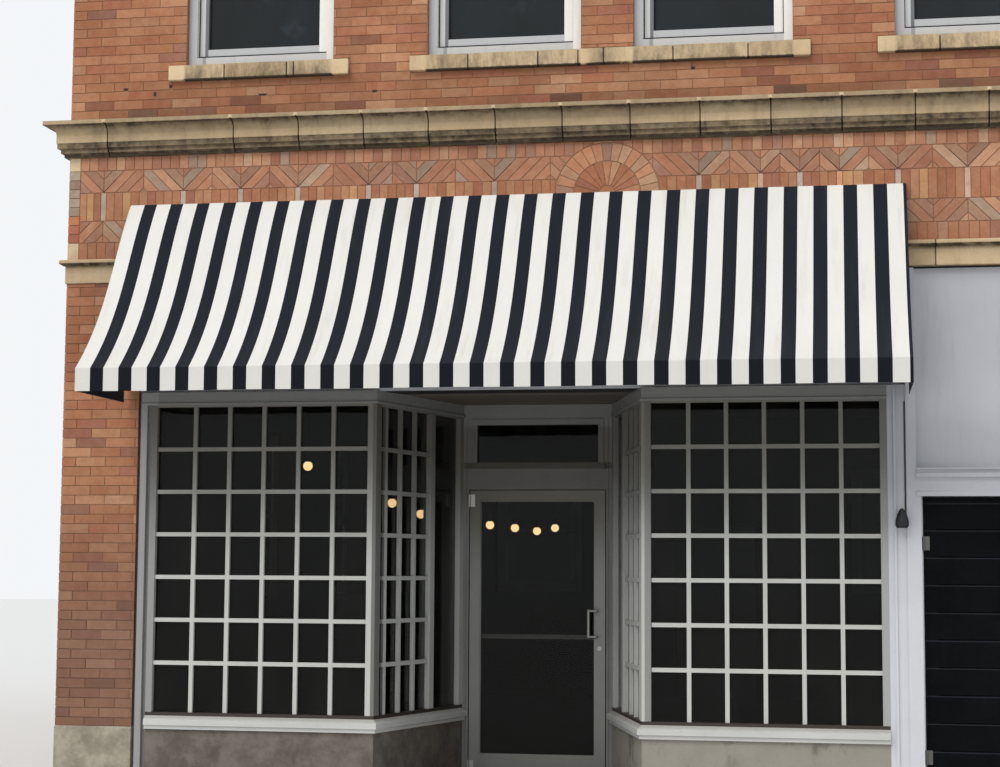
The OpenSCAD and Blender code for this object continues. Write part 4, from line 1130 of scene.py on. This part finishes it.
def turned(shape, x, y, profile, mat, sides=18):
    """A closed turned piece; its profile of radius and height starts and ends on the axis."""
    turn = [2 * math.pi * i / sides for i in range(sides)]
    verts = [street(x, y, profile[0][1])]
    verts += [street(x + r * math.cos(a), y + r * math.sin(a), z) for r, z in profile[1:-1] for a in turn]
    verts.append(street(x, y, profile[-1][1]))
    last = len(verts) - 1
    faces = [(0, 1 + i, 1 + (i + 1) % sides) for i in range(sides)]
    for a in range(1, last - sides, sides):
        b = a + sides
        faces += [(a + i, b + i, b + (i + 1) % sides, a + (i + 1) % sides) for i in range(sides)]
    faces += [(last, last - sides + (i + 1) % sides, last - sides + i) for i in range(sides)]
    shape.add(verts, faces, mat)


# Clear bulbs in turned sockets, each on a thin rod from a rose on the ceiling
lamps = Shape()
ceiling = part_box("upper_floor")[0][2]
for x, y, z in LAMPS:
    bulb = [(BULB_R * math.sin(a), z + BULB_R * math.cos(a)) for a in arc(0.42, math.pi - 0.15, 10)]
    turned(lamps, x, y, [(0.0, z + 0.042)] + bulb + [(0.0, z - BULB_R)], 1)
    turned(lamps, x, y, [(r, z + up) for r, up in SOCKET], 0)
    rod = [(0.0045, z + 0.098), (0.0, z + 0.098)]
    turned(lamps, x, y, [(r, ceiling - down) for r, down in ROSE] + rod, 0)
settle(lamps.make("pendant_lamps", ["steel", "bulb"], fix=True, smooth=40), "steel")

# Awning
AWN_L, AWN_R, AWN_TOP, AWN_FOLD, AWN_OUT, AWN_SAG = -3.385, 1.980, 4.115, 2.864, 0.925, 0.7
AWN_HEM = 2.712
CANVAS = 0.0022
STRIPES = (0.1035, 0.0905)
WHOLE_STRIPES = 55
scale_w = (1.960 - AWN_L) / (28 * STRIPES[0] + 27 * STRIPES[1])
stripe_x = [AWN_L]
for i in range(WHOLE_STRIPES):
    stripe_x.append(stripe_x[-1] + STRIPES[i % 2] * scale_w)
stripe_x.append(AWN_R)
RAFTERS = [AWN_L + 0.02 + (AWN_R - AWN_L - 0.04) * i / 4 for i in range(5)]
SLOPE_STEPS, VALANCE_STEPS = 40, 8
END_IN, END_BACK = 0.0115, -0.052


def slope_point(v):
    u = v - AWN_SAG * v * v * (1 - v)
    return -u * AWN_OUT, AWN_TOP - v * (AWN_TOP - AWN_FOLD)


def between_rafters(x):
    """0 at a rafter and 1 half way between two."""
    for a, b in zip(RAFTERS, RAFTERS[1:]):
        if a <= x <= b:
            return math.sin(math.pi * (x - a) / (b - a)) ** 2
    return 0.0


def cover_point(x, k, inset):
    """A point of the cover: k steps down the slope, then down the valance."""
    if k <= SLOPE_STEPS:
        v = k / SLOPE_STEPS
        y, z = slope_point(v)
        y0, z0 = slope_point(max(0.0, v - 0.01))
        y1, z1 = slope_point(min(1.0, v + 0.01))
        ln = math.hypot(y1 - y0, z1 - z0)
        ny, nz = (z1 - z0) / ln, (y0 - y1) / ln
        belly = 0.0065 * between_rafters(x) * math.sin(math.pi * v) ** 0.8
        ripple = 0.0012 * math.sin(x * 23.0 + v * 4.0) * math.sin(math.pi * v)
        d = -(belly + max(0.0, ripple)) - inset
        return street(x, y + ny * d, z + nz * d)
    t = (k - SLOPE_STEPS) / VALANCE_STEPS
    z = AWN_FOLD - t * (AWN_FOLD - AWN_HEM)
    wave = 0.0045 * t * (0.5 + 0.5 * math.sin(x * 8.3 + 0.6) * math.cos(x * 2.1))
    return street(x, -AWN_OUT + wave + inset + 0.0003, z + 0.0015 * t * math.sin(x * 5.0))


def awning_cloth():
    """The cover as one closed sheet, with three columns of faces to a stripe."""
    xs, mats = [], []
    for i, (a, b) in enumerate(zip(stripe_x, stripe_x[1:])):
        xs += [a + (b - a) * k / 3 for k in range(3)]
        mats += [i % 2] * 3
    xs.append(stripe_x[-1])
    nx, nk = len(xs), SLOPE_STEPS + VALANCE_STEPS + 1
    s = Shape()
    s.v = [cover_point(x, k, inset) for inset in (0.0, CANVAS) for k in range(nk) for x in xs]
    s.t = [(1, 1, 1, 0)] * len(s.v)

    def quad(mat, *points):
        s.f.append(tuple(side * nx * nk + k * nx + i for side, k, i in points))
        s.m.append(mat)

    for k in range(nk - 1):
        for i in range(nx - 1):
            quad(mats[i], (0, k, i), (0, k + 1, i), (0, k + 1, i + 1), (0, k, i + 1))
            quad(mats[i], (1, k, i), (1, k, i + 1), (1, k + 1, i + 1), (1, k + 1, i))
    last = nk - 1
    for i in range(nx - 1):
        quad(mats[i], (0, 0, i), (0, 0, i + 1), (1, 0, i + 1), (1, 0, i))
        quad(mats[i], (0, last, i), (1, last, i), (1, last, i + 1), (0, last, i + 1))
    for k in range(nk - 1):
        quad(0, (0, k, 0), (1, k, 0), (1, k + 1, 0), (0, k + 1, 0))
        quad(1, (0, k, nx - 1), (0, k + 1, nx - 1), (1, k + 1, nx - 1), (1, k, nx - 1))
    return s.make("awning_canvas", ["white_cloth", "navy_cloth"], fix=True, smooth=35)


canvas = settle(awning_cloth(), "awning_cloth", "awning_cover")


def awning_side(name, x0, x1):
    """The canvas that closes one end, down to the hem."""
    slope = [slope_point(v) for v in arc(0.0, 1.0, SLOPE_STEPS)]
    rim = [(y + END_IN, z - 0.004) for y, z in slope if y + END_IN < END_BACK]
    rim += [(-AWN_OUT + END_IN, AWN_HEM + 0.002), (END_BACK, AWN_HEM + 0.002)]
    s = Shape()
    s.add([street(x, y, z) for x in (x0, x1) for y, z in rim], skin(2, len(rim), True))
    ob = settle(s.make(name, ["navy_cloth"], fix=True), "awning_cloth", "awning_ends")
    ys, zs = zip(*rim)
    flat = (max(ys) - min(ys), max(zs) - min(zs))
    abs(area(rim))


awning_side("awning_end_left", AWN_L + 0.0005, AWN_L + 0.0028)
awning_side("awning_end_right", AWN_R - 0.0028, AWN_R - 0.0005)

# Finishes of the carried-over nodes, with a little soot
FINISH = {
    "concrete": "ground_floor entry_floor",
    "floor": "upper_floor display_floors",
    "roofing": "roof_deck",
    "base": "pier_bases",
    "bulkhead": "bulkheads",
    "stone": "coping",
    "sill_stone": "front_lintels side_stonework rear_stonework",
    "sash": "front_windows side_windows rear_windows",
    "room_glass": "front_window_glass side_window_glass rear_window_glass",
    "shop_glass": "display_glass transom_glass entry_door_glass",
    "grey": "rear_door left_jamb shopfront_header entry_door_frame",
    "panel": "fascia_panel shop_pilaster right_jamb side_door_frame",
    "bars": "left_display_frame left_return_frame right_display_frame right_return_frame",
    "sills": "display_sills",
    "soffit": "recess_soffit",
    "aluminium": "threshold entry_door",
    "handles": "entry_door_pull entry_door_hardware",
    "fittings": "side_door_hardware",
    "black": "side_door",
    "steel": "shopfront_beam awning_frame wall_fixture",
}
NODE_TINT = (1, 1, 1, 0.15)
for key, nodes in FINISH.items():
    for node in nodes.split():
        me = NODES[node].data
        give_tint(me, [NODE_TINT] * len(me.vertices))
        me.materials.clear()
        me.materials.append(M[key])

# Floor, light and camera
FLOOR_HALF, FLOOR_Z = 70, -0.002
me = bpy.data.meshes.new("studio_floor")
floor_plan = rect(-FLOOR_HALF, FLOOR_HALF, -FLOOR_HALF, FLOOR_HALF)
me.from_pydata([(x, y, FLOOR_Z) for x, y in floor_plan], [], [(0, 1, 2, 3)])
me.materials.append(Mat("studio_floor", 0.9).done((0.74, 0.74, 0.73)))
linked("studio_floor", me)

world = bpy.data.worlds.new("soft_daylight")
SCENE.world = world
world.use_nodes = True
wn = world.node_tree
wn.nodes.clear()
sky = add_node(wn, "Background", {"Color": (0.93, 0.97, 1.0), "Strength": 0.72})
white = add_node(wn, "Background", {"Color": (0.90, 0.92, 0.94), "Strength": 1.0})
path = add_node(wn, "LightPath")
seen = path.outputs["Is Camera Ray"]
for kind in ("Is Glossy Ray", "Is Transmission Ray"):
    seen = add_node(wn, "Math", {0: seen, 1: path.outputs[kind]}, operation="MAXIMUM").outputs[0]
backdrop = add_node(wn, "MixShader", {0: seen, 1: sky.outputs[0], 2: white.outputs[0]})
add_node(wn, "OutputWorld", {"Surface": backdrop.outputs[0]})

sun = bpy.data.lights.new("soft_sun", "SUN")
sun.energy = 1.7
sun.angle = math.radians(40)
sun.color = (1.0, 0.975, 0.94)
linked("soft_sun", sun).rotation_euler = Vector((-0.35, -0.75, 0.95)).to_track_quat("Z", "Y").to_euler()

CAM_AT = (1.579, -18.343, 1.574)
YAW, PITCH, ROLL, LENS = 0.1777, 0.0953, 0.00573, 69.77
turns = ((YAW, "Z"), (math.pi / 2 + PITCH, "X"), (ROLL, "Z"))
cam = bpy.data.cameras.new("camera")
cam.lens = LENS
cam.sensor_width = 36.0
cam.sensor_fit = "HORIZONTAL"
cam.clip_end = 200
shooter = linked("camera", cam)
shooter.matrix_world = Matrix.Translation(CAM_AT)
for angle, axis in turns:
    shooter.matrix_world = shooter.matrix_world @ Matrix.Rotation(angle, 4, axis)
SCENE.camera = shooter
SCENE.view_settings.view_transform = "Standard"

bpy.context.view_layer.update()
